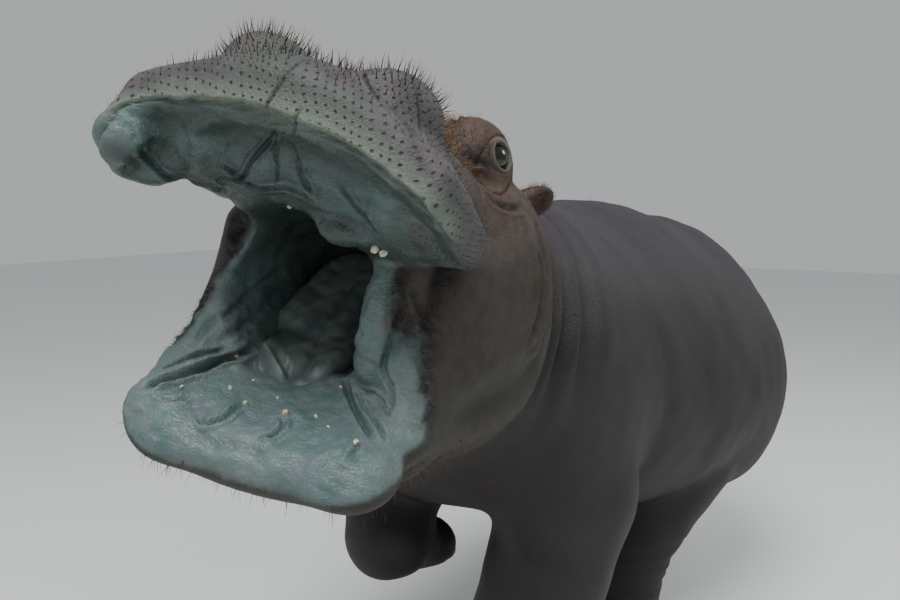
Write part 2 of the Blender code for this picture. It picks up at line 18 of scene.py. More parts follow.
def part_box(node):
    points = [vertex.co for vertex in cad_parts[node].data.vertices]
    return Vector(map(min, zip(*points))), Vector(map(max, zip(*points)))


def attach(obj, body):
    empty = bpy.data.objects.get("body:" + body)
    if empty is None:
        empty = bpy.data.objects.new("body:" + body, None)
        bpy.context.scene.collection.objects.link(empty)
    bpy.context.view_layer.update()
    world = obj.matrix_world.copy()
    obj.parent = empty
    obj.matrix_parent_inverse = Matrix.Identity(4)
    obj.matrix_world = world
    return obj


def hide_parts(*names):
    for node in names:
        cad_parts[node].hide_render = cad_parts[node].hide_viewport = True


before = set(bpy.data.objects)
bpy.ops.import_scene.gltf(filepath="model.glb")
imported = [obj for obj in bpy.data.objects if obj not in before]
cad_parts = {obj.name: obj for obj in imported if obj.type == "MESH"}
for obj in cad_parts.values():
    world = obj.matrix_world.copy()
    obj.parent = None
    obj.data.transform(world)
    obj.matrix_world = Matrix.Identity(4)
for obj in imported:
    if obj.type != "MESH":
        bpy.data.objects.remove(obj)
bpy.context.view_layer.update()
rng = np.random.default_rng(7)

# ---- the animal's measures, in metres ------------------------------------------------
JAW_JOINT = Vector((0.0725, -0.5195, 0.73))  # middle of the two jaw joints
GAPE = 35  # degrees between the jaws
COAT = 0.0015  # the skin lies this far inside the solids
GRID = 0.0037  # spacing of the skin's points at the head
TONGUE_GRID = 0.0022
MOST_FACES = 196000  # of the skin, in triangles
EYE_AT = Vector((0.102, -0.114, 0.094))
EYE_RADIUS = 0.0168
LID_HALF = (0.0124, 0.0126)  # half of the opening of the lids, across and up
EAR_AT = Vector((0.122, 0.034, 0.106))
FEET = {
    "forefoot_left": Vector((0.055, -0.285, 0.0)),
    "hindfoot_left": Vector((0.066, 0.195, 0.0)),
    "hindfoot_right": Vector((-0.165, 0.455, 0.0)),
}
TOES = (-54, -19, 19, 54)  # degrees from straight ahead
TOE_GAPS = (-36.5, 0.0, 36.5)
NAIL_HALF = (0.0150, 0.0122, 0.0082)
PAW = Vector((-0.094, -0.212, 0.272))  # the lifted right forefoot
LIP_MIDDLE = Vector((0.003, -0.386, -0.013))
LIP_BACK = 0.95  # how the rim of the lip runs back and drops to the sides
LIP_DROP = 1.5


def rotation(degrees, axis):
    return Matrix.Rotation(math.radians(degrees), 3, axis)


HEAD = rotation(18, "Z") @ rotation(-22, "X") @ rotation(11, "Y")  # aside, up, rolled
OPEN = rotation(GAPE, "X")
HALF_OPEN = rotation(GAPE / 2, "X")
LIP_ROLL = rotation(7.5, "Y")  # the lip hangs lower on the left
JAW = HEAD @ OPEN
MID = HEAD @ HALF_OPEN


def on_head(x, y, z):
    return JAW_JOINT + HEAD @ Vector((x, y, z))


# The measures above are about the jaw joint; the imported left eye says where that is.
low, high = (Vector(corner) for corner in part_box("eye_left"))
SHIFT = (low + high) / 2 - on_head(*EYE_AT)


# ---- small helpers -----------------------------------------------------------------
def linear(code):
    """An sRGB hex colour as linear RGBA."""
    parts = [int(code[i : i + 2], 16) / 255 for i in (1, 3, 5)]
    parts = [p / 12.92 if p <= 0.04045 else ((p + 0.055) / 1.055) ** 2.4 for p in parts]
    return (*parts, 1.0)


def add(tree, kind, *inputs, out=None, **settings):
    """Adds a node, with its settings, values and links, and returns one output.

    kind may carry the operation after a point, as in Math.ADD. Inputs are given in
    order, or by name in a dictionary at the end.
    """
    kind, _, operation = kind.partition(".")
    prefix = "ShaderNode" if hasattr(bpy.types, "ShaderNode" + kind) else "GeometryNode"
    made = tree.nodes.new(prefix + kind)
    if operation:
        made.operation = operation
    for key, value in settings.items():
        setattr(made, key, value)
    named = inputs[-1] if inputs and isinstance(inputs[-1], dict) else {}
    pairs = list(enumerate(inputs[:-1] if named else inputs)) + list(named.items())
    for key, value in pairs:
        if isinstance(value, bpy.types.NodeSocket):
            tree.links.new(value, made.inputs[key])
        elif isinstance(value, str) and value.startswith("#"):
            made.inputs[key].default_value = linear(value)
        else:
            made.inputs[key].default_value = value
    if out is not None:
        return made.outputs[out]
    if operation in ("LENGTH", "DOT_PRODUCT"):
        return made.outputs["Value"]
    return made.outputs[0] if len(made.outputs) else made


def new_object(name, data):
    made = bpy.data.objects.new(name, data)
    bpy.context.scene.collection.objects.link(made)
    return made


def mesh_of(name, points, faces):
    mesh = bpy.data.meshes.new(name)
    mesh.from_pydata([tuple(p) for p in points], [], [tuple(f) for f in faces])
    mesh.update()
    return mesh


def read(mesh, key, width=3):
    """A number or vector of every point of the mesh, as rows."""
    values = np.empty(len(mesh.vertices) * width, np.float32)
    mesh.vertices.foreach_get(key, values)
    return values.reshape(-1, width).astype(float)


def set_points(mesh, points):
    mesh.vertices.foreach_set("co", points.astype(np.float32).ravel())
    mesh.update()


def as_built(item):
    """The plain mesh that an object's modifiers make."""
    graph = bpy.context.evaluated_depsgraph_get()
    return bpy.data.meshes.new_from_object(item.evaluated_get(graph))


def piece(name, mesh, finish, shift=SHIFT):
    """A smooth piece of one finish, moved from the measures' frame to the model's."""
    made = new_object(name, mesh)
    mesh.transform(Matrix.Translation(shift))
    mesh.materials.clear()
    mesh.materials.append(finish)
    mesh.shade_smooth()
    return made


# ---- clay: a solid as a distance field -----------------------------------------------
NAPE = -0.46  # from here to the rump the skin's grid opens out
REACH = 0.40
WIDEN = 3.2
CORE = Vector((0.07, 0.0, 0.73))


def metres(measure):
    """Millimetres, alone or in threes, as metres."""
    return tuple(v / 1000 for v in measure) if isinstance(measure, tuple) else measure / 1000


class Clay:
    """A distance field that grows by blending shapes in and out."""

    def __init__(self, name, warped=False):
        self.tree = bpy.data.node_groups.new(name, "GeometryNodeTree")
        self.tree.interface.new_socket(
            "Geometry", in_out="OUTPUT", socket_type="NodeSocketGeometry"
        )
        self.node = partial(add, self.tree)
        place = self.node("InputPosition")
        self.world = self.widened(place) if warped else place
        self.distance = None

    def widened(self, place):
        """The grid's spacing grows from the nape to the rump."""
        x, y, z = self.parts(place)
        ahead = self.node("Math.MAXIMUM", self.node("Math.SUBTRACT", y, NAPE), 0.0)
        held = self.node("Math.MINIMUM", ahead, REACH)
        scale = self.node("Math.MULTIPLY_ADD", held, WIDEN, 1.0)
        half = self.node("Math.MULTIPLY_ADD", held, -0.5, ahead)
        more = self.node("Math.MULTIPLY", self.node("Math.MULTIPLY", held, WIDEN), half)
        return self.node(
            "CombineXYZ",
            self.node("Math.MULTIPLY_ADD", x, scale, CORE.x),
            self.node("Math.ADD", y, more),
            self.node("Math.MULTIPLY_ADD", z, scale, CORE.z),
        )

    def parts(self, place):
        return self.node("SeparateXYZ", place).node.outputs

    def placed(self, place, origin, turn):
        """The place as read in a frame at origin, turned by a 3x3 matrix."""
        away = self.node("VectorMath.SUBTRACT", place, tuple(origin))
        axes = (tuple(turn.col[i]) for i in range(3))
        read_off = (self.node("VectorMath.DOT_PRODUCT", away, axis) for axis in axes)
        return self.node("CombineXYZ", *read_off)

    def tilted(self, place, origin, degrees):
        turn = Euler([math.radians(angle) for angle in degrees]).to_matrix()
        return self.placed(place, origin, turn)

    def swung(self, place, pivot, turn):
        """The place as read in a frame turned about a pivot."""
        return self.node("VectorMath.ADD", self.placed(place, pivot, turn), tuple(pivot))

    def mirrored(self, place):
        x, y, z = self.parts(place)
        return self.node("CombineXYZ", self.node("Math.ABSOLUTE", x), y, z)

    def arched(self, place, back, drop):
        """A frame where a rim that runs back and drops to the sides is straight."""
        x, y, z = self.parts(place)
        square = self.node("Math.MULTIPLY", x, x)
        y = self.node("Math.MULTIPLY_ADD", square, -back, y)
        return self.node("CombineXYZ", x, y, self.node("Math.MULTIPLY_ADD", square, drop, z))

    def ball(self, place, centre, radii):
        """An ellipsoid."""
        away = self.node("VectorMath.SUBTRACT", place, tuple(centre))
        near = self.node("VectorMath.LENGTH", self.node("VectorMath.DIVIDE", away, tuple(radii)))
        slope = self.node("VectorMath.DIVIDE", away, tuple(radius * radius for radius in radii))
        slope = self.node("VectorMath.LENGTH", slope)
        rise = self.node("Math.MULTIPLY", near, self.node("Math.SUBTRACT", near, 1.0))
        return self.node("Math.DIVIDE", rise, self.node("Math.MAXIMUM", slope, 1e-5))

    def box(self, place, centre, half, edge):
        """A box with round edges."""
        away = self.node("VectorMath.SUBTRACT", place, tuple(centre))
        away = self.node("VectorMath.ABSOLUTE", away)
        away = self.node("VectorMath.SUBTRACT", away, tuple(size - edge for size in half))
        outside = self.node("VectorMath.MAXIMUM", away, (0, 0, 0))
        outside = self.node("VectorMath.LENGTH", outside)
        x, y, z = self.parts(away)
        inside = self.node("Math.MAXIMUM", self.node("Math.MAXIMUM", x, y), z)
        inside = self.node("Math.MINIMUM", inside, 0.0)
        return self.node("Math.SUBTRACT", self.node("Math.ADD", outside, inside), edge)

    def limb(self, place, start, end, radius, end_radius):
        """A tapered rod with round ends."""
        along = Vector(end) - Vector(start)
        away = self.node("VectorMath.SUBTRACT", place, tuple(start))
        unit = tuple(along / along.length_squared)
        share = self.node("VectorMath.DOT_PRODUCT", away, unit)
        share = self.node("Math.MINIMUM", self.node("Math.MAXIMUM", share, 0.0), 1.0)
        reach = self.node("VectorMath.SCALE", tuple(along), {"Scale": share})
        off = self.node("VectorMath.LENGTH", self.node("VectorMath.SUBTRACT", away, reach))
        size = self.node("Math.MULTIPLY_ADD", share, end_radius - radius, radius)
        return self.node("Math.SUBTRACT", off, size)

    def add(self, shape, blend):
        if self.distance is not None:
            shape = self.node("Math.SMOOTH_MIN", self.distance, shape, blend)
        self.distance = shape

    def cut(self, shape, blend):
        away = self.node("Math.MULTIPLY", shape, -1.0)
        self.distance = self.node("Math.SMOOTH_MAX", self.distance, away, blend)

    def sculpt(self, frames, shapes):
        """Blends in each row's shape, or cuts it away where the blend is negative."""
        for frame_name, kind, blend, *measures in shapes:
            shape = getattr(self, kind)(frames[frame_name], *map(metres, measures))
            (self.add if blend > 0 else self.cut)(shape, metres(abs(blend)))

    def chain(self, place, points, radii, blend):
        for i in range(len(points) - 1):
            ends = points[i], points[i + 1], radii[i], radii[i + 1]
            self.add(self.limb(place, *ends), blend)

    def mesh(self, low, high, spacing, outset=0.0):
        """The closed surface at a distance from the field's own, as a new mesh."""
        low, high = Vector(low), Vector(high)
        depth = self.node("Math.MULTIPLY", self.distance, -1.0)
        grid = {"Density": depth, "Background": -1.0, "Min": low, "Max": high}
        for axis, size in zip("XYZ", high - low):
            grid["Resolution " + axis] = max(8, round(size / spacing))
        cube = self.node("VolumeCube", grid)
        surface = self.node("VolumeToMesh", {"Volume": cube, "Threshold": -outset})
        ending = self.tree.nodes.new("NodeGroupOutput")
        self.tree.links.new(surface, ending.inputs[0])
        holder = new_object("clay", bpy.data.meshes.new("clay"))
        holder.modifiers.new("clay", "NODES").node_group = self.tree
        made = as_built(holder)
        bpy.data.objects.remove(holder)
        bpy.data.node_groups.remove(self.tree)
        return made


def widened_points(points):
    """Where the field's grid points lie on the animal, as Clay.widened reads them."""
    ahead = np.maximum(points[:, 1] - NAPE, 0)
    held = np.minimum(ahead, REACH)
    scale = 1 + WIDEN * held
    out = np.empty_like(points)
    out[:, 0] = points[:, 0] * scale + CORE.x
    out[:, 1] = points[:, 1] + WIDEN * held * (ahead - held / 2)
    out[:, 2] = points[:, 2] * scale + CORE.z
    return out


# ---- the flesh ---------------------------------------------------------------------
# Each row is a frame, a shape, how softly it blends (negative where it is cut away), and
# its sizes in millimetres: a ball's middle and radii, a box's middle, half sizes and
# edge, a limb's two ends and two radii. A frame named both_ lies on both sides.
TRUNK = (
    ("world", "ball", 50, (0, -200, 580), (235, 280, 215)),
    ("world", "ball", 120, (0, 120, 530), (262, 420, 262)),
    ("world", "ball", 120, (0, 330, 450), (295, 410, 215)),
    ("world", "ball", 120, (0, 460, 505), (235, 285, 250)),
)
SKULL = (
    ("head", "ball", 50, (0, 0, 50), (118, 120, 85)),
    ("head", "limb", 40, (0, -60, 55), (0, -270, 30), 92, 60),
    ("both_head", "ball", 50, (100, -40, 15), (55, 100, 80)),
    ("both_head", "ball", 40, (78, -170, 8), (46, 90, 52)),
    ("both_head", "ball", 35, (76, -100, 96), (36, 52, 42)),
)
MUZZLE = (
    # the lip's rim and pad, and the flare of its right end
    ("lip", "box", 30, (-5, -311, 13), (160, 77, 25), 18),
    ("lip", "ball", 20, (-8, -306, 26), (150, 80, 42)),
    ("head", "ball", 30, (-152, -315, -34), (36, 52, 30)),
    # nostrils, then the lining and the hollow behind the rim
    ("both_nose", "ball", 30, (64, -245, 20), (48, 80, 44)),
    ("both_nose", "ball", 22, (61, -314, 46), (44, 50, 36)),
    ("lip", "ball", 20, (0, -275, -12), (140, 95, 34)),
    ("lip", "ball", -12, (0, -336, -50), (152, 44, 43)),
    ("both_nose", "ball", 20, (98, -270, -26), (32, 60, 34)),
    # gum, palate and the ridge of the gum
    ("head", "box", 15, (0, -215, -32), (88, 68, 27), 25),
    ("head", "ball", -15, (-20, -165, -80), (66, 85, 52)),
    ("head", "limb", 16, (-60, -252, -48), (-20, -260, -60), 10, 14),
    ("head", "limb", 16, (-20, -260, -60), (30, -268, -59), 14, 12),
    ("head", "limb", 16, (30, -268, -59), (75, -276, -62), 12, 8),
)
LOWER_JAW = (
    ("both_jaw", "limb", 40, (85, 20, -100), (90, -220, -100), 60, 40),
    ("jaw", "ball", 30, (0, -130, -110), (90, 180, 55)),
    ("jaw", "ball", 30, (0, -235, -112), (112, 80, 44)),
    ("plate", "box", 20, (0, 0, 0), (132, 82, 28), 26),
    ("both_jaw", "ball", 20, (85, -315, -90), (45, 48, 28)),
    ("both_jaw", "ball", 70, (95, 0, -70), (55, 110, 100)),
)
CHEEKS = (
    ("both_head", "ball", 80, (110, 0, -70), (58, 125, 120)),
    ("both_between", "ball", 30, (70, -182, -55), (36, 60, 82)),
    ("between", "ball", -30, (-26, -250, -45), (62, 205, 80)),
    ("between", "limb", -30, (-18, 0, -35), (-42, -220, -45), 34, 45),
)


def add_neck(clay):
    nape = on_head(0, 0.05, 0.01)
    throat = on_head(0, 0.05, -0.12)
    clay.add(clay.limb(clay.world, nape, (0, -0.25, 0.585), 0.142, 0.198), 0.08)
    clay.add(clay.limb(clay.world, throat, (0, -0.28, 0.55), 0.125, 0.15), 0.08)


def add_webs(clay, both):
    """The web of each cheek, from the upper jaw to the lower, in strands."""
    strands = 12
    for i in range(strands):
        share = i / (strands - 1)
        top = Vector((0.10, 0.0, -0.01)).lerp(Vector((0.114, -0.160, -0.04)), share)
        low = Vector((0.10, -0.02, -0.09)).lerp(Vector((0.118, -0.270, -0.072)), share)
        low = OPEN @ low
        middle = (top + low) / 2 - Vector((0.020 * share, 0, 0))
        radius = 0.052 * (1 - share) + 0.018 * share
        clay.chain(both, (top, middle, low), (radius, radius * 1.2, radius), 0.03)


def add_foot(clay, name):
    middle = FEET[name] + Vector((0, -0.010, 0.045))
    clay.add(clay.ball(clay.world, middle, (0.072, 0.084, 0.046)), 0.02)


def add_forelegs(clay):
    world = clay.world
    foot = FEET["forefoot_left"]
    clay.add(clay.ball(world, (0.135, -0.21, 0.46), (0.10, 0.14, 0.20)), 0.06)
    clay.add(clay.ball(world, (-0.15, -0.21, 0.50), (0.10, 0.14, 0.16)), 0.06)
    ankle = foot + Vector((0.007, 0.030, 0.13))
    points = [(0.140, -0.20, 0.38), (0.112, -0.21, 0.26), ankle]
    points.append(foot + Vector((0.0, 0.010, 0.05)))
    clay.chain(world, points, [0.10, 0.088, 0.068, 0.068], 0.03)
    add_foot(clay, "forefoot_left")
    wrist = (-0.10, -0.30, 0.303)
    clay.add(clay.limb(world, (-0.14, -0.21, 0.43), wrist, 0.088, 0.064), 0.04)
    clay.add(clay.limb(world, wrist, (-0.094, -0.235, 0.277), 0.058, 0.044), 0.02)
    clay.add(clay.ball(world, PAW, (0.054, 0.042, 0.042)), 0.012)


def add_hindlegs(clay):
    for side, name in ((1, "hindfoot_left"), (-1, "hindfoot_right")):
        foot = FEET[name]
        rump = (side * 0.15 + 0.02, 0.42, 0.43)
        clay.add(clay.ball(clay.world, rump, (0.12, 0.18, 0.19)), 0.06)
        points = [
            (side * 0.13, foot.y / 2 + 0.20, 0.32),
            foot + Vector((side * 0.012, 0.040, 0.16)),
            foot + Vector((0.0, 0.010, 0.05)),
        ]
        clay.chain(clay.world, points, [0.110, 0.070, 0.066], 0.03)
        add_foot(clay, name)


def add_tail(clay):
    points = [(0, 0.70, 0.635), (0, 0.772, 0.565), (0, 0.796, 0.480)]
    clay.chain(clay.world, points, [0.040, 0.026, 0.017], 0.02)
    clay.add(clay.ball(clay.world, (0, 0.800, 0.450), (0.013, 0.022, 0.040)), 0.015)


def add_ears(clay):
    """The cup of each ear, open to the side and folded a little back."""
    lean = Euler([math.radians(angle) for angle in (-38, 40, -15)])
    for side in (1, -1):
        flip = Matrix.Diagonal((side, 1, 1))
        centre = JAW_JOINT + HEAD @ (flip @ EAR_AT)
        ear = clay.placed(clay.world, centre, HEAD @ flip @ lean.to_matrix())
        clay.add(clay.ball(ear, (0, 0, 0), (0.016, 0.025, 0.032)), 0.008)
        clay.add(clay.limb(ear, (0, 0, -0.015), (-0.010, 0, -0.045), 0.016, 0.020), 0.015)
        clay.cut(clay.ball(ear, (0.018, -0.004, 0.006), (0.018, 0.017, 0.024)), 0.006)


def skin_mesh():
    clay = Clay("flesh", warped=True)
    head = clay.placed(clay.world, JAW_JOINT, HEAD)
    nose = clay.swung(head, LIP_MIDDLE, LIP_ROLL)
    jaw = clay.placed(head, (0, 0, 0), OPEN)
    spade = clay.arched(jaw, 0.8, -0.9)
    between = clay.placed(head, (0, 0, 0), HALF_OPEN)
    frames = {"world": clay.world, "head": head, "nose": nose, "jaw": jaw, "between": between}
    for name in ("head", "nose", "jaw", "between"):
        frames["both_" + name] = clay.mirrored(frames[name])
    frames["lip"] = clay.arched(nose, LIP_BACK, LIP_DROP)
    frames["plate"] = clay.tilted(spade, (-0.010, -0.277, -0.086), (9, 0, 0))
    clay.sculpt(frames, TRUNK)
    add_neck(clay)
    clay.sculpt(frames, SKULL + MUZZLE + LOWER_JAW)
    add_webs(clay, frames["both_head"])
    clay.sculpt(frames, CHEEKS)
    add_forelegs(clay)
    add_hindlegs(clay)
    add_tail(clay)
    floor = clay.node("Math.MULTIPLY", clay.parts(clay.world)[2], -1.0)
    clay.distance = clay.node("Math.SMOOTH_MAX", clay.distance, floor, 0.006)
    add_ears(clay)
    mesh = clay.mesh((-0.255, -0.935, -0.620), (0.270, 0.235, 0.240), GRID, -COAT)
    set_points(mesh, widened_points(read(mesh, "co")))
    return mesh


# ---- the skin as points: frames, masks and folds -------------------------------------
def rows(matrix):
    return np.array(matrix)


def in_frame(points, turn):
    """World points as seen from the jaw joint, in a frame turned with that part."""
    return (points - np.array(JAW_JOINT)) @ rows(turn)


def out_of(points, turn):
    """The same points back in the world."""
    return points @ rows(turn).T + np.array(JAW_JOINT)


def ease(low, high, values):
    share = np.clip((values - low) / (high - low), 0, 1)
    return share * share * (3 - 2 * share)


def bell(values, width):
    return np.exp(-((values / width) ** 2))


def blob(points, centre, radii):
    """1 at a centre, fading softly to 0 at about those radii."""
    away = (points - np.array(centre)) / np.array(radii)
    return np.exp(-1.5 * (away**2).sum(1))


def one_sided(points):
    """Points of both sides of the head, laid over each other on its left."""
    return np.abs(points) * (1, 0, 0) + points * (0, 1, 1)


def unit(vectors):
    return vectors / np.maximum(np.linalg.norm(vectors, axis=-1), 1e-9)[..., None]


def curve(points, steps=6):
    """A smooth run of points through the given ones."""
    path = np.array(points, float)
    ends = np.vstack([2 * path[0] - path[1], path, 2 * path[-1] - path[-2]])
    out = []
    for i in range(1, len(path)):
        a, b, c, d = ends[i - 1 : i + 3]
        for t in np.arange(steps) / steps:
            out.append(
                b
                + 0.5 * t * (c - a)
                + t * t * (a - 2.5 * b + 2 * c - 0.5 * d)
                + t**3 * (1.5 * (b - c) + 0.5 * (d - a))
            )
    return np.vstack([out, path[-1]])


def line_distance(points, path):
    """Distance to a run of points, and how far along it the nearest one is, 0 to 1."""
    best = np.full(len(points), 9.0)
    along = np.zeros(len(points))
    margin = 0.06
    inside = (points > path.min(0) - margin) & (points < path.max(0) + margin)
    near = np.flatnonzero(inside.all(1))
    q, reach, where = points[near], best[near], along[near]
    for i in range(len(path) - 1):
        step = path[i + 1] - path[i]
        share = np.clip((q - path[i]) @ step / (step @ step + 1e-12), 0, 1)
        off = np.linalg.norm(q - path[i] - share[:, None] * step, axis=1)
        closer = off < reach
        reach = np.where(closer, off, reach)
        where = np.where(closer, (i + share) / (len(path) - 1), where)
    best[near], along[near] = reach, where
    return best, along


def waves(points, size, seed, count=14):
    """Soft unevenness from -1 to 1 with swells of about that size."""
    local = np.random.default_rng(seed)
    total = np.zeros(len(points))
    for _ in range(count):
        way = local.normal(size=3)
        way *= 2 * math.pi / (size * local.uniform(0.7, 1.6)) / np.linalg.norm(way)
        total += np.sin(points @ way + local.uniform(0, 6.28))
    return total / math.sqrt(count)


LIP_POINT = np.array(LIP_MIDDLE)


class Hide:
    """The skin's points in each frame, with the zones that folds and colours share."""

    def __init__(self, mesh):
        self.points = read(mesh, "co")
        self.normals = read(mesh, "normal")
        self.head = in_frame(self.points, HEAD)
        self.jaw = in_frame(self.points, JAW)
        self.mid = in_frame(self.points, MID)
        self.nose = (self.head - LIP_POINT) @ rows(LIP_ROLL) + LIP_POINT
        self.lip = self.nose.copy()
        self.lip[:, 1] -= LIP_BACK * self.nose[:, 0] ** 2
        self.lip[:, 2] += LIP_DROP * self.nose[:, 0] ** 2
        self.facing()

    def facing(self):
        """How much the skin faces the middle of the mouth: 1 inside, -1 outside."""
        middle = np.zeros_like(self.mid)
        middle[:, 1] = np.clip(self.mid[:, 1], -0.33, 0.0)
        middle[:, 2] = -0.035
        away = middle - self.mid
        self.reach = np.linalg.norm(away, axis=1)
        turned = self.normals @ rows(MID)
        self.inward = (turned * away).sum(1) / np.maximum(self.reach, 1e-6)
        self.upper = ease(-0.005, 0.03, self.mid[:, 2])
        right_end = ease(-0.09, -0.13, self.nose[:, 0]) * ease(-0.22, -0.26, self.head[:, 1])
        self.inward += 0.75 * right_end * self.upper * ease(0.004, -0.010, self.lip[:, 2])
        ahead = ease(-0.20, -0.27, self.jaw[:, 1])
        self.spread = self.inward + 0.62 * ahead * (1 - self.upper)
        # The pads of the cheeks beside the mouth, where lining runs out to the edge.
        beside = ease(0.045, 0.06, np.abs(self.mid[:, 0])) * ease(-0.35, -0.31, self.jaw[:, 1])
        beside *= 1 - self.upper * ease(-0.18, -0.21, self.head[:, 1])
        near = ease(0.27, 0.22, self.reach) * ease(0.05, 0.0, self.mid[:, 1])
        self.beside = beside * near * ease(0.150, 0.115, np.abs(self.mid[:, 2]))
        rough = 0.07 * waves(self.points, 0.022, 25)
        above = ease(-0.12, -0.07, self.mid[:, 2])
        self.pad = self.spread + (0.32 * above + rough) * self.beside
        edge = -0.06 - 0.10 * self.beside, 0.16 + 0.06 * self.beside
        self.lining = ease(*edge, self.pad) * near
        self.outer = 1 - self.lining


# ---- folds and creases ---------------------------------------------------------------
# Each is a line on the hide, in millimetres: its frame, half-width and depth, the share
# of the depth that rolls up beside it, and its course.
FOLDS = (
    # snout: groove between the nostrils, notch of the rim, slit under each nostril
    ("head", 1.3, 3, 0.5, (12, -366, 62), (5, -386, 35), (0, -389, 18), (-7, -385, 0),
     (-11, -372, -10)),
    ("head", 1.1, 4, 0.3, (22, -385, 0), (16, -378, -11), (13, -366, -17)),
    ("head", 1.2, 4, 0.6, (50, -346, 62), (53, -362, 45), (66, -368, 32), (81, -370, 18),
     (96, -373, 7), (110, -373, -4)),
    ("head", 1.8, 4.5, 0.5, (-26, -352, 72), (-24, -366, 58), (-30, -374, 44)),
    ("head", 1.8, 3.5, 0.5, (85, -340, 45), (104, -346, 28), (122, -345, 10)),
    # nostrils, on top of the snout
    ("head", 2.4, 10, 0.4, (52, -322, 83), (68, -306, 83), (79, -288, 78), (78, -268, 70)),
    ("head", 2.4, 10, 0.4, (-52, -322, 98), (-68, -306, 98), (-79, -288, 94),
     (-78, -268, 85)),
    # roof: edge of the lobe, folds that run from the rim to the gum
    ("head", 2.4, 4.5, 0.5, (-137, -361, -33), (-141, -328, -41), (-134, -298, -47),
     (-112, -288, -47), (-89, -282, -44)),
    ("head", 1.8, 3.8, 0.8, (-20, -338, -2), (-30, -322, -6), (-51, -301, -19),
     (-60, -292, -33), (-82, -290, -40)),
    ("head", 1.8, 3.6, 0.8, (-18, -340, -2), (-25, -322, -6), (-28, -302, -18),
     (-25, -291, -36)),
    ("head", 1.8, 3.4, 0.8, (-12, -330, -6), (-6, -303, -18), (0, -297, -27),
     (10, -292, -40)),
    ("head", 1.8, 3.2, 0.6, (-60, -290, -35), (-44, -287, -39), (-31, -289, -38),
     (-14, -292, -35), (20, -290, -46)),
    ("head", 1.4, 4, 0.6, (-78, -300, -30), (-66, -296, -34), (-50, -288, -42)),
    ("head", 1.8, 3.5, 0.5, (28, -310, -28), (46, -304, -40), (62, -300, -52),
     (84, -298, -66)),
    # floor of the mouth: where each cheek meets the jaw, and the pits beside the teeth
    ("jaw", 3.2, 8, 0.7, (-121, -322, -56), (-110, -307, -54), (-93, -276, -51),
     (-80, -249, -48), (-71, -211, -48)),
    ("jaw", 1.9, 4, 0.7, (-113, -322, -56), (-103, -303, -54), (-85, -274, -51),
     (-68, -250, -50)),
    ("jaw", 1.9, 4, 0.7, (-126, -300, -52), (-110, -276, -48), (-98, -250, -44),
     (-90, -225, -42)),
    ("jaw", 2.6, 5.2, 0.7, (38, -226, -50), (48, -243, -52), (62, -262, -54),
     (81, -285, -55), (100, -306, -56)),
    ("jaw", 2, 2.6, 0.7, (52, -231, -50), (69, -260, -52), (95, -286, -53), (112, -304, -54)),
    ("jaw", 1.9, 2.2, 0.7, (66, -226, -48), (89, -250, -48), (106, -280, -50)),
    ("jaw", 2.4, 3.4, 1.2, (-60, -328, -66), (-48, -336, -66), (-36, -325, -65),
     (-34, -308, -63), (-28, -300, -61)),
    ("jaw", 2.2, 3.4, 1.2, (10, -300, -62), (16, -312, -65), (12, -326, -66), (4, -330, -67)),
    ("jaw", 2.2, 3.4, 1.2, (82, -308, -57), (92, -322, -58), (91, -338, -62)),
    ("jaw", 2.9, 3, 0.8, (-105, -330, -60), (-90, -326, -60), (-76, -312, -60)),
    ("jaw", 6.5, 3, 0.6, (-60, -345, -70), (-35, -352, -72), (-5, -345, -70),
     (20, -350, -70)),
    # the cheeks' inner walls and the corners of the mouth
    ("head", 3.4, 3, 0.6, (-62, -110, -60), (-80, -150, -100), (-98, -190, -150),
     (-115, -215, -190)),
    ("head", 3.4, 2.2, 0.6, (-50, -110, -80), (-72, -155, -130), (-92, -190, -172)),
    ("head", 2.4, 3.5, 0.6, (70, -195, -90), (76, -190, -125), (84, -198, -160),
     (98, -210, -195)),
    ("head", 3.4, 2, 0.5, (90, -232, -62), (108, -218, -85), (118, -200, -110)),
    # behind the eye, under the ear and round the jowl
    ("head", 3.6, 6, 0.6, (128, -20, 98), (146, -40, 70), (160, -30, 45), (168, -20, 15),
     (172, -22, -10)),
    ("head", 3, 4.5, 0.6, (98, -150, 62), (112, -138, 48), (126, -120, 42), (132, -100, 46),
     (138, -78, 60)),
    ("head", 2.4, 3.5, 0.6, (70, -165, 90), (82, -172, 70), (100, -166, 48), (114, -150, 32)),
    ("head", 2.4, 3, 0.6, (50, -120, 136), (60, -146, 122), (62, -168, 100)),
    ("head", 2.4, 2.5, 0.6, (136, -60, 80), (138, -30, 100), (120, -20, 128)),
    ("world", 19, 9.5, 0.5, (238, -707, 589), (234, -643, 593), (237, -576, 600),
     (228, -500, 612), (240, -480, 650), (240, -474, 703), (238, -486, 745),
     (228, -496, 790)),
    ("world", 6, 5, 0.6, (240, -560, 640), (244, -530, 670), (245, -520, 710),
     (243, -527, 750)),
)
MIRRORED = range(29, 36)  # these folds lie on both sides
TURNS = {"head": HEAD, "jaw": JAW}


def fold_course(hide, tree, frame_name, path, side):
    """A fold's course in the world, laid onto the skin."""
    path = np.array(path) / 1000
    if frame_name in TURNS:
        course = out_of(curve(path * (side, 1, 1)), TURNS[frame_name])
    elif side == 1:
        course = curve(path)
    else:
        course = curve(out_of(in_frame(path, HEAD) * (-1, 1, 1), HEAD))
    for k, point in enumerate(course):
        _, at, _ = tree.find(point)
        normal = hide.normals[at]
        course[k] += normal * ((hide.points[at] - point) @ normal)
    return course


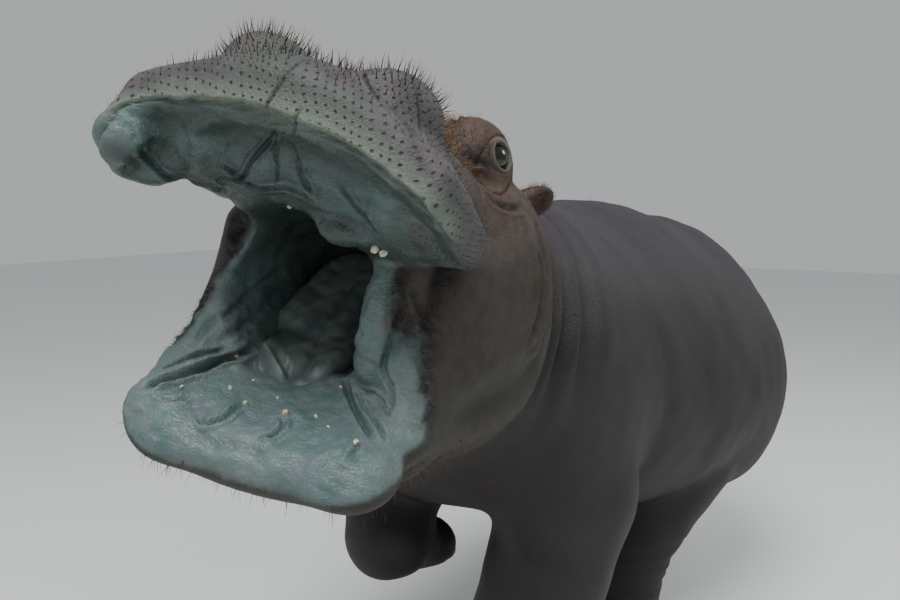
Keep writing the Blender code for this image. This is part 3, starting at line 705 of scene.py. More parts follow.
def fold_lines(hide):
    """How far every fold's line sinks or lifts the skin."""
    tree = KDTree(len(hide.points))
    for i, point in enumerate(hide.points):
        tree.insert(point, i)
    tree.balance()
    depth = np.zeros(len(hide.points))
    for i, (frame_name, width, sink, roll, *path) in enumerate(FOLDS):
        width, sink = width / 1000, sink / 1000
        for side in (1, -1) if i in MIRRORED else (1,):
            course = fold_course(hide, tree, frame_name, path, side)
            off, along = line_distance(hide.points, course)
            fade = 0.15 + 0.85 * ease(0, 0.2, along) * ease(1, 0.8, along)
            groove = -bell(off, width) + roll * bell(off - 2.1 * width, width)
            depth += sink * fade * groove
    return depth


# Rings of loose skin on the neck, and slow folds of the body: place, half-width, depth.
NECK_RINGS = ((0.606, 0.013, 0.019), (0.566, 0.016, 0.018), (0.640, 0.010, 0.011))
BODY_FOLDS = ((-0.10, 0.024, 0.003), (0.05, 0.030, 0.0015), (0.20, 0.034, 0.0015))
ANKLE_CREASES = ((0.092, 0.004), (0.112, 0.003), (0.135, 0.003), (0.165, 0.002))


def neck_folds(hide):
    """Rings of loose skin between the jowl and the shoulder."""
    x, y, z = hide.points.T
    along = 0.08 * x - 0.90 * y + 0.43 * z + 1.2 * (z - 0.66) ** 2
    along += 0.006 * waves(hide.points, 0.25, 3)
    around = ease(0.82, 0.74, z) * hide.outer * ease(-0.62, -0.50, y) * ease(-0.10, -0.2, y)
    around *= 0.12 * ease(0.42, 0.50, z) + 0.88 * ease(0.52, 0.66, z)
    depth = np.zeros(len(x))
    for place, width, sink in NECK_RINGS:
        off = along - place
        ring = -bell(off, width) + 0.55 * bell(off + 1.9 * width, 1.3 * width)
        depth += sink * around * ring
    return depth


def body_folds(hide):
    """Slow folds of the flank, shoulder and thigh."""
    x, y, z = hide.points.T
    side = ease(0.06, 0.16, np.abs(x)) * ease(0.28, 0.36, z) * ease(0.80, 0.68, z)
    depth = np.zeros(len(x))
    drift = 0.03 * waves(hide.points, 0.5, 5)
    for place, width, sink in BODY_FOLDS:
        off = y + 0.25 * (z - 0.5) + drift - place
        ring = -bell(off, width) + 0.5 * bell(off - 2 * width, 1.4 * width)
        depth += sink * side * ring
    depth += 0.0009 * waves(hide.points, 0.07, 11) * ease(-0.5, -0.3, y)
    return depth


def leg_folds(hide):
    """Wrinkles round the wrists and ankles, and the parting of the toes."""
    depth = np.zeros(len(hide.points))
    for foot in FEET.values():
        away = hide.points - np.array(foot)
        flat = np.linalg.norm(away[:, :2], axis=1)
        here = ease(0.17, 0.12, flat)
        for height, sink in ANKLE_CREASES:
            off = away[:, 2] - height - 0.12 * away[:, 1]
            off += 0.003 * waves(hide.points, 0.05, 21)
            depth -= here * sink * bell(off, 0.006)
        angle = np.degrees(np.arctan2(away[:, 0], -(away[:, 1] + 0.010)))
        low = ease(0.075, 0.05, away[:, 2]) * ease(0.03, 0.05, flat) * here
        for gap in TOE_GAPS:
            depth -= low * 0.007 * bell(angle - gap, 7.5)
        for toe in TOES:
            depth += low * 0.004 * bell(angle - toe, 13)
    away = hide.points - np.array(PAW)
    here = ease(0.085, 0.05, np.linalg.norm(away, axis=1))
    angle = np.degrees(np.arctan2(away[:, 0], away[:, 1]))
    for gap in TOE_GAPS:
        depth -= here * ease(0.02, 0.035, away[:, 1]) * 0.004 * bell(angle - gap, 8)
    return depth


def mouth_folds(hide):
    """Soft swells of the lining, wrinkles of the cheeks' pads and the lip's crisp rim."""
    swells = 0.0011 * waves(hide.points, 0.030, 71) + 0.0006 * waves(hide.points, 0.013, 72)
    pads = 0.0016 * waves(hide.mid * (0.35, 0.35, 1.3), 0.010, 73) * hide.beside
    at_rim = hide.upper * ease(-0.20, -0.27, hide.head[:, 1])
    at_rim *= ease(-0.31, -0.36, hide.lip[:, 1])
    crest = 0.0014 * bell(hide.inward, 0.14) - 0.0042 * bell(hide.inward - 0.36, 0.13)
    return swells * hide.lining, pads * bell(hide.pad, 0.3), at_rim * crest


def eye_middle(side):
    return np.array((EYE_AT.x * side, EYE_AT.y, EYE_AT.z))


def eye_axes(side):
    """The eye's axes in the head's frame: across, up, and outwards."""
    out = Vector((0.88 * side, -0.46, 0.12)).normalized()
    across = Vector((0, 0, 1)).cross(out).normalized()
    return np.array((across, out.cross(across), out))


def lids(hide):
    """Moves the skin round each eye into an opening with a rolled lid and a pouch."""
    shift = np.zeros_like(hide.points)
    for side in (1, -1):
        axes = eye_axes(side)
        local = (hide.head - eye_middle(side)) @ axes.T
        a, b, c = local.T
        close = (np.linalg.norm(local, axis=1) < 0.06) & (c > -0.012)
        across, up = LID_HALF
        ring = np.sqrt(((a + 0.25 * b * side) / across) ** 2 + (b / up) ** 2)
        wish = np.where(ring < 1.0, 0.004, 0.0146)
        wish += (ring >= 1.0) * 0.0012 * bell(ring - 1.22, 0.16)
        move = (wish - c) * close * ease(3.5, 1.2, ring)
        for across, up, lift, sink, low in (
            (0.0190, 0.0165, -0.0010, 0.0016, 0.002),
            (0.0250, 0.0330, -0.0100, 0.0034, -0.004),
        ):
            ridge = np.sqrt((a / across) ** 2 + ((b - lift) / up) ** 2) - 1.0
            under = ease(low + 0.004, low - 0.012, b + 0.25 * a * side)
            move -= sink * close * bell(ridge, 0.075) * under
        lid = np.sqrt((a / 0.0215) ** 2 + ((b - 0.001) / 0.0200) ** 2) - 1.0
        move -= 0.0022 * close * bell(lid, 0.06) * ease(0.000, 0.010, b)
        shift += move[:, None] * (axes[2] @ rows(HEAD).T)
    return shift


def refine(mesh):
    """Cuts the faces finer round the eyes, for the lids, and on the lips."""
    round_eye = 0.042
    coarse = 4e-6  # square metres
    shape = bmesh.new()
    shape.from_mesh(mesh)
    chosen = []
    for side in (1, -1):
        middle = on_head(*eye_middle(side))
        for face in shape.faces:
            if (face.calc_center_median() - middle).length < round_eye:
                chosen.extend(face.edges)
    bmesh.ops.subdivide_edges(shape, edges=list(set(chosen)), cuts=2, use_grid_fill=True)
    lips = set()
    for face in shape.faces:
        local = HEAD.transposed() @ (face.calc_center_median() - JAW_JOINT)
        lower = OPEN.transposed() @ local
        upper_lip = local.y < -0.25 and local.z > -0.075
        lower_lip = lower.y < -0.20 and -0.085 < lower.z < 0.0
        if (upper_lip or lower_lip) and face.calc_area() > coarse:
            lips.update(face.edges)
    bmesh.ops.subdivide_edges(shape, edges=list(lips), cuts=1, use_grid_fill=True)
    bmesh.ops.triangulate(shape, faces=[f for f in shape.faces if len(f.verts) > 4])
    shape.to_mesh(mesh)
    shape.free()


def store(mesh, name, values):
    """Keeps one number or four for each point of the mesh."""
    kind, key = ("FLOAT", "value") if values.ndim == 1 else ("FLOAT_COLOR", "color")
    layer = mesh.attributes.new(name, kind, "POINT")
    layer.data.foreach_set(key, values.astype(np.float32).ravel())


PORE_GAP = 0.0066  # between pores in a row, and between rows
PORE_ROW = 0.0064


def pore_places(hide):
    """Where each point lies on the snout's and the chin's own rows of pores.

    The rows run round the snout and the chin, and turn over their edges.
    """
    x, y, z = hide.nose.T
    round_off = np.hypot(x, y + 0.16) - 0.125
    across = 0.19 * np.arctan2(x, -(y + 0.16)) / PORE_GAP
    up = 0.090 * np.arctan2(z - 0.01, np.maximum(round_off, 0.03)) / PORE_ROW
    snout = np.stack([across, up])
    x, y, z = hide.jaw.T
    across = 60 + 0.19 * np.arctan2(x, -(y + 0.14)) / PORE_GAP
    up = 40 + 0.075 * np.arctan2(-(z + 0.07), -(y + 0.29)) / PORE_ROW
    places = np.where(hide.upper > 0.5, snout, np.stack([across, up])).T
    drift = np.stack([waves(hide.points, 0.045, 31), waves(hide.points, 0.05, 32)], 1)
    places = places + 0.35 * drift
    return np.hstack([places, np.zeros_like(places)])


def zones(hide, fold):
    """The colour zones of the hide, 0 to 1 at each point."""
    q, j, m = hide.head, hide.jaw, hide.mid
    upper, outer = hide.upper, hide.outer
    in_head = ease(0.16, 0.08, q[:, 1]) * ease(0.62, 0.5, np.linalg.norm(q, axis=1))
    muzzle = ease(-0.165, -0.245, q[:, 1]) * upper * outer * in_head
    near = one_sided(q)
    warm = blob(near, (0.085, -0.110, 0.105), (0.06, 0.07, 0.06))
    warm = warm + blob(near, (0.13, 0.02, 0.10), (0.05, 0.07, 0.06))
    warm = warm + 0.7 * blob(near, (0.12, -0.10, 0.04), (0.05, 0.08, 0.05))
    warm = np.clip(warm, 0, 1) * (outer * in_head)
    cheek = ease(0.14, 0.04, q[:, 1]) * in_head * outer * (1 - muzzle)
    front = ease(-0.20, -0.27, q[:, 1]) * upper
    rim = front * bell(hide.lip[:, 2] + 0.004, 0.013) * ease(0.75, 0.2, hide.inward)
    rim *= ease(-0.30, -0.36, hide.lip[:, 1])
    for side in (1, -1):
        a, b, c = ((q - eye_middle(side)) @ eye_axes(side).T).T
        ring = np.hypot(a / LID_HALF[0], b / LID_HALF[1])
        lid = bell(ring - 1.12, 0.22) + 0.8 * bell(ring - 1.35, 0.3) * ease(0.0, 0.01, b)
        rim += 0.42 * lid * (np.abs(c) < 0.03)
    edge = front * bell(hide.inward - 0.12, 0.10) * ease(-0.33, -0.37, hide.lip[:, 1])
    low_edge = (1 - upper) * ease(-0.20, -0.27, j[:, 1]) * bell(hide.spread - 0.02, 0.12)
    web = bell(hide.pad - 0.02, 0.24) * ease(-0.02, -0.07, m[:, 1]) * hide.beside
    web *= ease(0.27, 0.22, hide.reach)
    # Painted shade: the lining darkens towards the throat, and on the roof just behind the lip's
    # rim.
    throat = ease(-0.17, -0.07, m[:, 1])
    throat = hide.lining * np.maximum(throat, 0.7 * upper * ease(-0.325, -0.27, q[:, 1]))
    facing, z = hide.normals[:, 2], hide.points[:, 2]
    top = ease(0.25, 0.85, facing) * ease(0.35, 0.6, z)
    # below tints the hide that faces down or lies low; in the mouth it is painted shade on the
    # lining that faces down.
    below = ease(-0.1, -0.8, facing) + 0.6 * ease(0.30, 0.05, z)
    snout_pores = ease(-0.185, -0.235, q[:, 1]) * upper * ease(0.10, -0.12, hide.inward)
    snout_pores *= 1 - 0.85 * bell(hide.nose[:, 0] + 0.002, 0.006)
    chin_pores = (1 - upper) * ease(-0.25, -0.29, j[:, 1]) * ease(0.02, -0.15, hide.spread)
    pores = (snout_pores + 0.4 * chin_pores) * in_head
    marks = {
        "zones_a": (hide.lining, muzzle, warm, cheek),
        "zones_b": (rim, web, throat, pores),
        "zones_c": (top, below, low_edge, edge),
    }
    marks = {name: np.clip(np.stack(four, 1), 0, 1) for name, four in marks.items()}
    # fold is how deep each crease sinks; the finish paints shade into it.
    return {**marks, "fold": np.clip(-fold / 0.006, 0, 1), "pore_place": pore_places(hide)}


# ---- finishes ------------------------------------------------------------------------
BLEND = {"out": 2, "data_type": "RGBA"}  # a Mix node between two colours
EASED = {"interpolation_type": "SMOOTHSTEP"}  # a Map Range node with soft ends


def finish_of(name, **constants):
    """A new finish, the sockets of its shader, and what adds nodes to it."""
    made = bpy.data.materials.new(name)
    made.use_nodes = True
    shader = made.node_tree.nodes["Principled BSDF"]
    for key, value in constants.items():
        shader.inputs[key].default_value = value
    return made, shader.inputs, partial(add, made.node_tree)


def hide_material():
    """Bare hide: thick, matte, finely crazed; moist and smoother inside the mouth."""
    made, sockets, put = finish_of("bare_hippo_hide", IOR=1.40)
    link = made.node_tree.links.new
    place = put("TexCoord", out="Object")
    zone = {}
    for layer, names in (
        ("zones_a", "lining muzzle warm cheek"),
        ("zones_b", "rim web throat pored"),
        ("zones_c", "top below low_edge rim_line"),
    ):
        node = put("Attribute", attribute_name=layer).node
        colours = put("SeparateColor", node.outputs["Color"]).node.outputs
        zone.update(zip(names.split(), (*colours, node.outputs["Alpha"])))
    fold = put("Attribute", attribute_name="fold", out="Fac")
    lining = zone["lining"]
    # Blotches of 110 mm, mottling of 17 mm and grain of 2.6 mm.
    blotch = put("TexNoise", {"Vector": place, "Scale": 9.0, "Detail": 3.0}, out=0)
    mottle = put("TexNoise", {"Vector": place, "Scale": 60.0, "Detail": 4.0}, out=0)
    grain = put("TexNoise", {"Vector": place, "Scale": 380.0, "Detail": 2.0}, out=0)
    blotch = put("MapRange", blotch, 0.35, 0.65, **EASED)
    mottle = put("MapRange", mottle, 0.34, 0.66, **EASED)
    # Pores under 3 mm wide, in staggered rows, each a dark pit.
    pore_place = put("Attribute", attribute_name="pore_place", out="Color")
    across, up, _ = put("SeparateColor", pore_place).node.outputs
    odd = put("Math.PINGPONG", put("Math.FLOOR", up), 1.0)
    across = put("Math.MULTIPLY_ADD", odd, 0.5, across)
    off = [put("Math.SUBTRACT", put("Math.FRACT", way), 0.5) for way in (across, up)]
    off = put("VectorMath.LENGTH", put("CombineXYZ", *off, 0.0))
    pit = put("MapRange", off, 0.21, 0.09, **EASED)
    pit = put("Math.MULTIPLY", pit, zone["pored"])
    # Coats of colour, each mottled between two, then washed with others in turn.
    coats = {
        name: put("Mix", {0: spots, 6: dark, 7: light}, **BLEND)
        for name, spots, dark, light in (
            ("body", blotch, "#1c1a19", "#242120"),
            ("cheek", mottle, "#211e16", "#312b20"),
            ("brow", mottle, "#372721", "#503a30"),
            ("snout", mottle, "#383538", "#494548"),
            ("mouth", blotch, "#48625e", "#5d716c"),
        )
    }
    grey = put("MapRange", blotch, 0.3, 0.9, **EASED)
    specks = put("Math.MULTIPLY", zone["rim_line"], mottle)
    hairy = put("Math.MULTIPLY", zone["web"], put("Math.MULTIPLY_ADD", mottle, 0.5, 0.5))
    # Painted shade: the hide darkens in the creases that the folds sink, less inside the mouth.
    crease_shade = put("Math.MULTIPLY", fold, put("Math.MULTIPLY_ADD", lining, -0.3, 0.6))
    grains = put("MapRange", grain, 0.3, 0.75, **EASED)
    for coat, where, strength, wash in (
        ("snout", grey, 1, "#3d423e"),
        ("mouth", mottle, 0.45, "#6b6872"),
        # painted shade deep in the mouth and on its roof
        ("mouth", zone["throat"], 1, "#2a3432"),
        # painted shade on the lining that faces down
        ("mouth", zone["below"], 0.85, "#2b3731"),
        ("body", zone["top"], 1, "#302c33"),
        ("body", zone["below"], 0.5, "#211b18"),
        ("body", zone["cheek"], 0.8, "cheek"),
        ("body", zone["warm"], 1, "brow"),
        ("body", zone["muzzle"], 1, "snout"),
        ("body", lining, 1, "mouth"),
        ("body", zone["rim"], 0.8, "#646e63"),
        ("body", specks, 0.7, "#4f4829"),
        ("body", hairy, 1, "#231b1a"),
        ("body", zone["low_edge"], 0.75, "#1c2120"),
        # painted shade in the creases
        ("body", crease_shade, 1, "#191413"),
        ("body", grains, 0.16, "#1f1a19"),
        ("body", pit, 0.86, "#241c1c"),
    ):
        if strength != 1:
            where = put("Math.MULTIPLY", where, strength)
        layers = {0: where, 6: coats[coat], 7: coats.get(wash, wash)}
        coats[coat] = put("Mix", layers, **BLEND)
    link(coats["body"], sockets["Base Color"])
    dry = put("Math.MULTIPLY_ADD", lining, -0.20, 0.58)
    link(put("Math.MULTIPLY_ADD", grain, 0.12, dry), sockets["Roughness"])
    # The crazing is 4 mm across, over swells of 11 mm that keep the hide from looking flat.
    crazed = {"Vector": place, "Scale": 240.0}
    cells = put("TexVoronoi", crazed, feature="DISTANCE_TO_EDGE")
    cells = put("MapRange", cells, 0.0, 0.25, **EASED)
    wide = put("TexNoise", {"Vector": place, "Scale": 90.0, "Detail": 6.0}, out=0)
    # Wet wrinkles of the lining, 12 mm apart, drawn out from side to side.
    drawn = put("VectorMath.MULTIPLY", place, (0.45, 1.0, 1.0))
    wrinkled = {"Vector": drawn, "Scale": 85.0, "Detail": 5.0, "Distortion": 1.2}
    wrinkle = put("Math.SUBTRACT", put("TexNoise", wrinkled, out=0), 0.5)
    ridged = put("MapRange", put("Math.ABSOLUTE", wrinkle), 0.0, 0.07, **EASED)
    ridged = put("Math.MULTIPLY", ridged, lining)
    height = wide
    for relief, rise in ((cells, 0.35), (grain, 0.35), (pit, -2.2), (ridged, 0.6)):
        height = put("Math.MULTIPLY_ADD", relief, rise, height)
    bump = put("Bump", {"Strength": 0.55, "Distance": 0.0011, "Height": height})
    link(bump, sockets["Normal"])
    return made


def mottled_finish(name, noise, span, colours, bump=None, **constants):
    """A finish mottled between two colours, with a fine relief where bump is given.

    The noise is its scale, detail and, where it is drawn out, its stretch; bump is its
    strength and depth, and the scale of its beads where it has beads of its own.
    """
    made, sockets, put = finish_of(name, **constants)
    link = made.node_tree.links.new
    place = put("TexCoord", out="Object")
    scale, detail, *stretch = noise
    drawn = put("VectorMath.MULTIPLY", place, stretch[0]) if stretch else place
    spots = put("TexNoise", {"Vector": drawn, "Scale": scale, "Detail": detail}, out=0)
    share = put("MapRange", spots, *span, **EASED)
    colour = put("Mix", {0: share, 6: colours[0], 7: colours[1]}, **BLEND)
    link(colour, sockets["Base Color"])
    if bump:
        strength, depth, *beads = bump
        if beads:
            grain = {"Vector": place, "Scale": beads[0]}
            spots = put("TexVoronoi", grain, out="Distance")
        relief = {"Strength": strength, "Distance": depth, "Height": spots}
        link(put("Bump", relief), sockets["Normal"])
    return made


def hair_material(name, root, tip):
    """Bristle keratin, dark at the root and lighter where it wears thin at the tip."""
    made, sockets, put = finish_of(name, Roughness=0.5)
    along = put("Attribute", attribute_name="along", out="Fac")
    worn = put("MapRange", along, 0.35, 1.0, **EASED)
    colour = put("Mix", {0: worn, 6: root, 7: tip}, **BLEND)
    made.node_tree.links.new(colour, sockets["Base Color"])
    return made


def eye_material():
    """A brown eye under a wet cornea, near black, with a bar of pupil."""
    wet = {"Roughness": 0.05, "IOR": 1.38, "Coat Weight": 0.4, "Coat Roughness": 0.05}
    made, sockets, put = finish_of("wet_eye", **wet)
    ring = put("Attribute", attribute_name="ring", out="Fac")
    pupil = put("Attribute", attribute_name="pupil", out="Fac")
    place = put("TexCoord", out="Object")
    colour = "#0d0a09"
    fleck = put("TexNoise", {"Vector": place, "Scale": 900.0, "Detail": 3.0}, out=0)
    for where, low, high, wash in (
        (fleck, 0.3, 0.7, "#1a1411"),
        (ring, 0.90, 0.99, "#2c2826"),
        (pupil, 1.05, 0.95, "#050505"),
    ):
        share = put("MapRange", where, low, high, **EASED)
        colour = put("Mix", {0: share, 6: colour, 7: wash}, **BLEND)
    made.node_tree.links.new(colour, sockets["Base Color"])
    return made


# ---- bristles and hair ---------------------------------------------------------------
def faces_of(mesh):
    """The corners of every triangle, as numbers of points."""
    mesh.calc_loop_triangles()
    corners = np.empty(len(mesh.loop_triangles) * 3, np.int32)
    mesh.loop_triangles.foreach_get("vertices", corners)
    return corners.reshape(-1, 3)


def kept(mesh, name):
    """Reads back the four numbers kept for each point."""
    values = np.empty(len(mesh.vertices) * 4, np.float32)
    mesh.attributes[name].data.foreach_get("color", values)
    return values.reshape(-1, 4)


class Roots:
    """Places on the hide where hairs grow, with the hide's own directions there."""

    def __init__(self, mesh):
        self.points = read(mesh, "co")
        self.normals = read(mesh, "normal")
        self.faces = faces_of(mesh)
        a, b, c = (self.points[self.faces[:, k]] for k in range(3))
        self.area = np.linalg.norm(np.cross(b - a, c - a), axis=1) / 2
        self.middles = (a + b + c) / 3
        self.slopes = self.normals[self.faces[:, 0]]
        self.head = in_frame(self.middles, HEAD)
        self.mesh = mesh

    def at(self, faces, shares):
        corners = self.faces[faces]
        place = (self.points[corners] * shares[..., None]).sum(1)
        normal = (self.normals[corners] * shares[..., None]).sum(1)
        return place, normal / np.linalg.norm(normal, axis=1)[:, None]

    def scattered(self, weight, count):
        """Random roots, thicker where the weight of a face is greater."""
        chance = self.area * weight
        faces = rng.choice(len(chance), count, p=chance / chance.sum())
        u, v = rng.random((2, count))
        over = u + v > 1
        u[over], v[over] = 1 - u[over], 1 - v[over]
        return self.at(faces, np.stack([1 - u - v, u, v], 1))

    def pores(self, least):
        """One root in each pore of the rows that the hide's finish draws."""
        where = kept(self.mesh, "pore_place")[:, :2].astype(float)
        weight = kept(self.mesh, "zones_b")[:, 3]
        fine = np.flatnonzero(weight[self.faces].min(1) > least)
        cell = where[self.faces[fine]]
        small = np.ptp(cell, axis=1).max(1) < 1.5
        fine, cell = fine[small], cell[small]
        a, b, c = cell[:, 0], cell[:, 1], cell[:, 2]
        whole = np.cross(b - a, c - a)
        whole = np.where(np.abs(whole) < 1e-9, 1e-9, whole)
        found = []
        for row_step in (0, 1):
            row = np.floor(cell[:, :, 1].min(1)) + row_step
            odd = np.mod(row, 2) * 0.5
            for step in (0, 1):
                spot_u = np.floor(cell[:, :, 0].min(1) + odd) + step + 0.5 - odd
                spot = np.stack([spot_u, row + 0.5], 1)
                second = np.cross(spot - a, c - a) / whole
                third = np.cross(b - a, spot - a) / whole
                inside = (second >= 0) & (third >= 0) & (second + third < 1)
                shares = np.stack([1 - second - third, second, third], 1)
                found.append(self.at(fine[inside], shares[inside]))
        places, ways = zip(*found)
        return np.vstack(places), np.vstack(ways)


def quaternions(ways, lean):
    """Turns that point +Z along each way, with +X towards the lean."""
    x = unit(lean - (lean * ways).sum(1)[:, None] * ways)
    columns = np.stack([x, np.cross(ways, x), ways], 2)
    return np.array([tuple(Matrix(turn.tolist()).to_quaternion()) for turn in columns])


def bristle_tree(finish, steps, sides):
    """Nodes that set one tapered, bent bristle on every point and join them all."""
    tree = bpy.data.node_groups.new("bristles", "GeometryNodeTree")
    put = partial(add, tree)
    socket = tree.interface.new_socket
    socket("Geometry", in_out="INPUT", socket_type="NodeSocketGeometry")
    socket("Geometry", in_out="OUTPUT", socket_type="NodeSocketGeometry")
    keys = {
        name: socket(name, in_out="INPUT", socket_type="NodeSocketFloat").identifier
        for name in ("Thickness", "Bend")
    }
    given = tree.nodes.new("NodeGroupInput").outputs
    tip = put("CombineXYZ", given["Bend"], 0.0, 0.95)
    line = {"Resolution": steps, "Start": (0, 0, -0.06), "Middle": (0, 0, 0.5), "End": tip}
    along = put("SplineParameter", out="Factor")
    stem = {"Geometry": put("CurveQuadraticBezier", line), "Name": "along", "Value": along}
    stem = put("StoreNamedAttribute", stem, data_type="FLOAT", domain="POINT")
    taper = put("Math.MULTIPLY_ADD", along, -0.92, 1.0)
    radius = put("Math.MULTIPLY", taper, given["Thickness"])
    ring = put("CurvePrimitiveCircle", {"Resolution": sides, "Radius": 1.0}, out="Curve")
    parts = {"Curve": stem, "Profile Curve": ring, "Scale": radius, "Fill Caps": True}
    body = put("CurveToMesh", parts)
    turn, size = (
        put("InputNamedAttribute", {"Name": name}, data_type=kind, out="Attribute")
        for name, kind in (("turn", "QUATERNION"), ("size", "FLOAT"))
    )
    setting = {"Points": given["Geometry"], "Instance": body, "Rotation": turn, "Scale": size}
    joined = put("RealizeInstances", {"Geometry": put("InstanceOnPoints", setting)})
    joined = put("SetMaterial", {"Geometry": joined, "Material": finish})
    tree.links.new(joined, tree.nodes.new("NodeGroupOutput").inputs[0])
    return tree, keys


def patch_map(mesh, roots, patch=0.003):
    """Gives every hair one small patch of the map, at its root's place on the hide."""
    span = 1.9  # metres across one chart
    count = len(mesh.vertices) // len(roots)
    corners = np.empty(len(mesh.loops), np.int32)
    mesh.loops.foreach_get("vertex_index", corners)
    root = roots[corners // count]
    # The hide is laid out in six charts, one for each way that a root's place faces.
    away = (root - np.array((0.0, 0.0, 0.5))) / np.array((0.31, 0.86, 0.48))
    chart = np.abs(away).argmax(1)
    below = away[np.arange(len(away)), chart] < 0
    u = np.where(chart == 0, root[:, 1] + 0.9, root[:, 0] + 0.35)
    v = np.where(chart == 2, root[:, 1] + 0.9, root[:, 2])
    u = u / span / 3 + chart / 3
    v = v / span / 2 + below / 2
    tall = np.empty(len(mesh.vertices), np.float32)
    mesh.attributes["along"].data.foreach_get("value", tall)
    turn = (corners % 3) / 3.0
    place = np.stack([u + patch * turn, v + patch * tall[corners]], 1)
    layer = mesh.uv_layers.new(name="OFBake")
    layer.data.foreach_set("uv", place.astype(np.float32).ravel())


def grown(name, roots, ways, lean, lengths, finish, shape, sides=3, steps=4):
    """One coat of hair as a plain mesh: a bristle on each root, all joined."""
    mesh = mesh_of(name, roots, [])
    turn = mesh.attributes.new("turn", "QUATERNION", "POINT")
    turn.data.foreach_set("value", quaternions(ways, lean).astype(np.float32).ravel())
    store(mesh, "size", lengths)
    made = new_object(name, mesh)
    grow = made.modifiers.new("bristles", "NODES")
    grow.node_group, keys = bristle_tree(finish, steps, sides)
    for key, value in zip(("Thickness", "Bend"), shape):
        grow[keys[key]] = value
    joined = as_built(made)
    made.modifiers.clear()
    made.data = joined
    joined.name = name
    patch_map(joined, np.array(roots))
    joined.transform(Matrix.Translation(SHIFT))
    return made


GROWN_PORES = 0.93  # the share of the pores that carry a bristle


def snout_bristles(roots, finish):
    """A stiff dark bristle from each pore of the lips, combed up and outwards."""
    places, normals = roots.pores(0.45)
    keep = rng.random(len(places)) < GROWN_PORES
    places, normals = places[keep], normals[keep]
    up = rows(HEAD)[:, 2]
    ways = unit(normals + 0.35 * up + 0.22 * rng.normal(size=normals.shape))
    lean = up + 0.5 * rng.normal(size=normals.shape)
    top = ease(0.0, 0.06, in_frame(places, HEAD)[:, 2])
    lengths = (0.0055 + 0.0065 * top) * rng.uniform(0.5, 1.5, len(places))
    return grown("snout_bristles", places, ways, lean, lengths, finish, (0.040, 0.28))


def cheek_hair(roots, finish):
    """Coarse dark hair on the cheeks' edges, between the lining and the hide."""
    web = kept(roots.mesh, "zones_b")[:, 1][roots.faces].mean(1)
    places, normals = roots.scattered(web**2, 2400)
    way = unit(rng.normal(size=normals.shape) * 0.35 - rows(MID)[:, 1] * 0.5)
    lengths = rng.uniform(0.0025, 0.0075, len(places))
    return grown("cheek_hair", places, unit(normals + way), way, lengths, finish, (0.026, 0.4))


def brow_weight(bed):
    near = one_sided(bed.head)
    up = bed.slopes @ rows(HEAD)[:, 2]
    bridge = blob(near, (0.055, -0.175, 0.095), (0.055, 0.050, 0.04)) * ease(-0.3, 0.3, up)
    return bridge * (1 - 0.93 * blob(near, (0.080, -0.105, 0.115), (0.05, 0.048, 0.05)))


def chin_weight(bed):
    jaw = in_frame(bed.middles, JAW)
    down = -(bed.slopes @ rows(JAW)[:, 2])
    return ease(-0.12, -0.25, jaw[:, 1]) * ease(0.1, 0.7, down) * ease(0.02, -0.09, jaw[:, 2])


def ear_weight(bed):
    weight = np.zeros(len(bed.head))
    for side in (1, -1):
        away = bed.head - np.array((EAR_AT.x * side, EAR_AT.y, EAR_AT.z))
        away = np.linalg.norm(away, axis=1)
        weight += ease(0.044, 0.034, away) * ease(0.010, 0.024, away)
    return weight


def body_weight(bed):
    return ease(0.02, 0.10, bed.head[:, 1]) * ease(0.25, 0.40, bed.middles[:, 2])


def tail_weight(bed):
    x, y, z = bed.middles.T
    low, high = (np.array(corner) - np.array(SHIFT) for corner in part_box("tail"))
    down = (high[2] - z) / (high[2] - low[2])
    weight = ease(0.35, 0.8, down) * (y > low[1]) * (np.abs(x) < 0.05)
    weight *= ease(0.2, 0.7, np.abs(bed.slopes[:, 0])) + 0.1
    return weight * (z > low[2])


def coat(name, roots, finish, weight, count, comb, lean, stray, lengths, shape):
    """Soft hair scattered over the hide, combed over one way and a little astray.

    Its shortest and longest hairs are in millimetres, and its shape is the thickness
    and bend of a hair as shares of its length.
    """
    lean = np.array(lean)
    places, normals = roots.scattered(weight(roots), count)
    ways = unit(normals + comb * lean + stray * rng.normal(size=normals.shape))
    lengths = rng.uniform(*metres(lengths), len(places))
    return grown(name, places, ways, ways * 0 + lean, lengths, finish, shape)


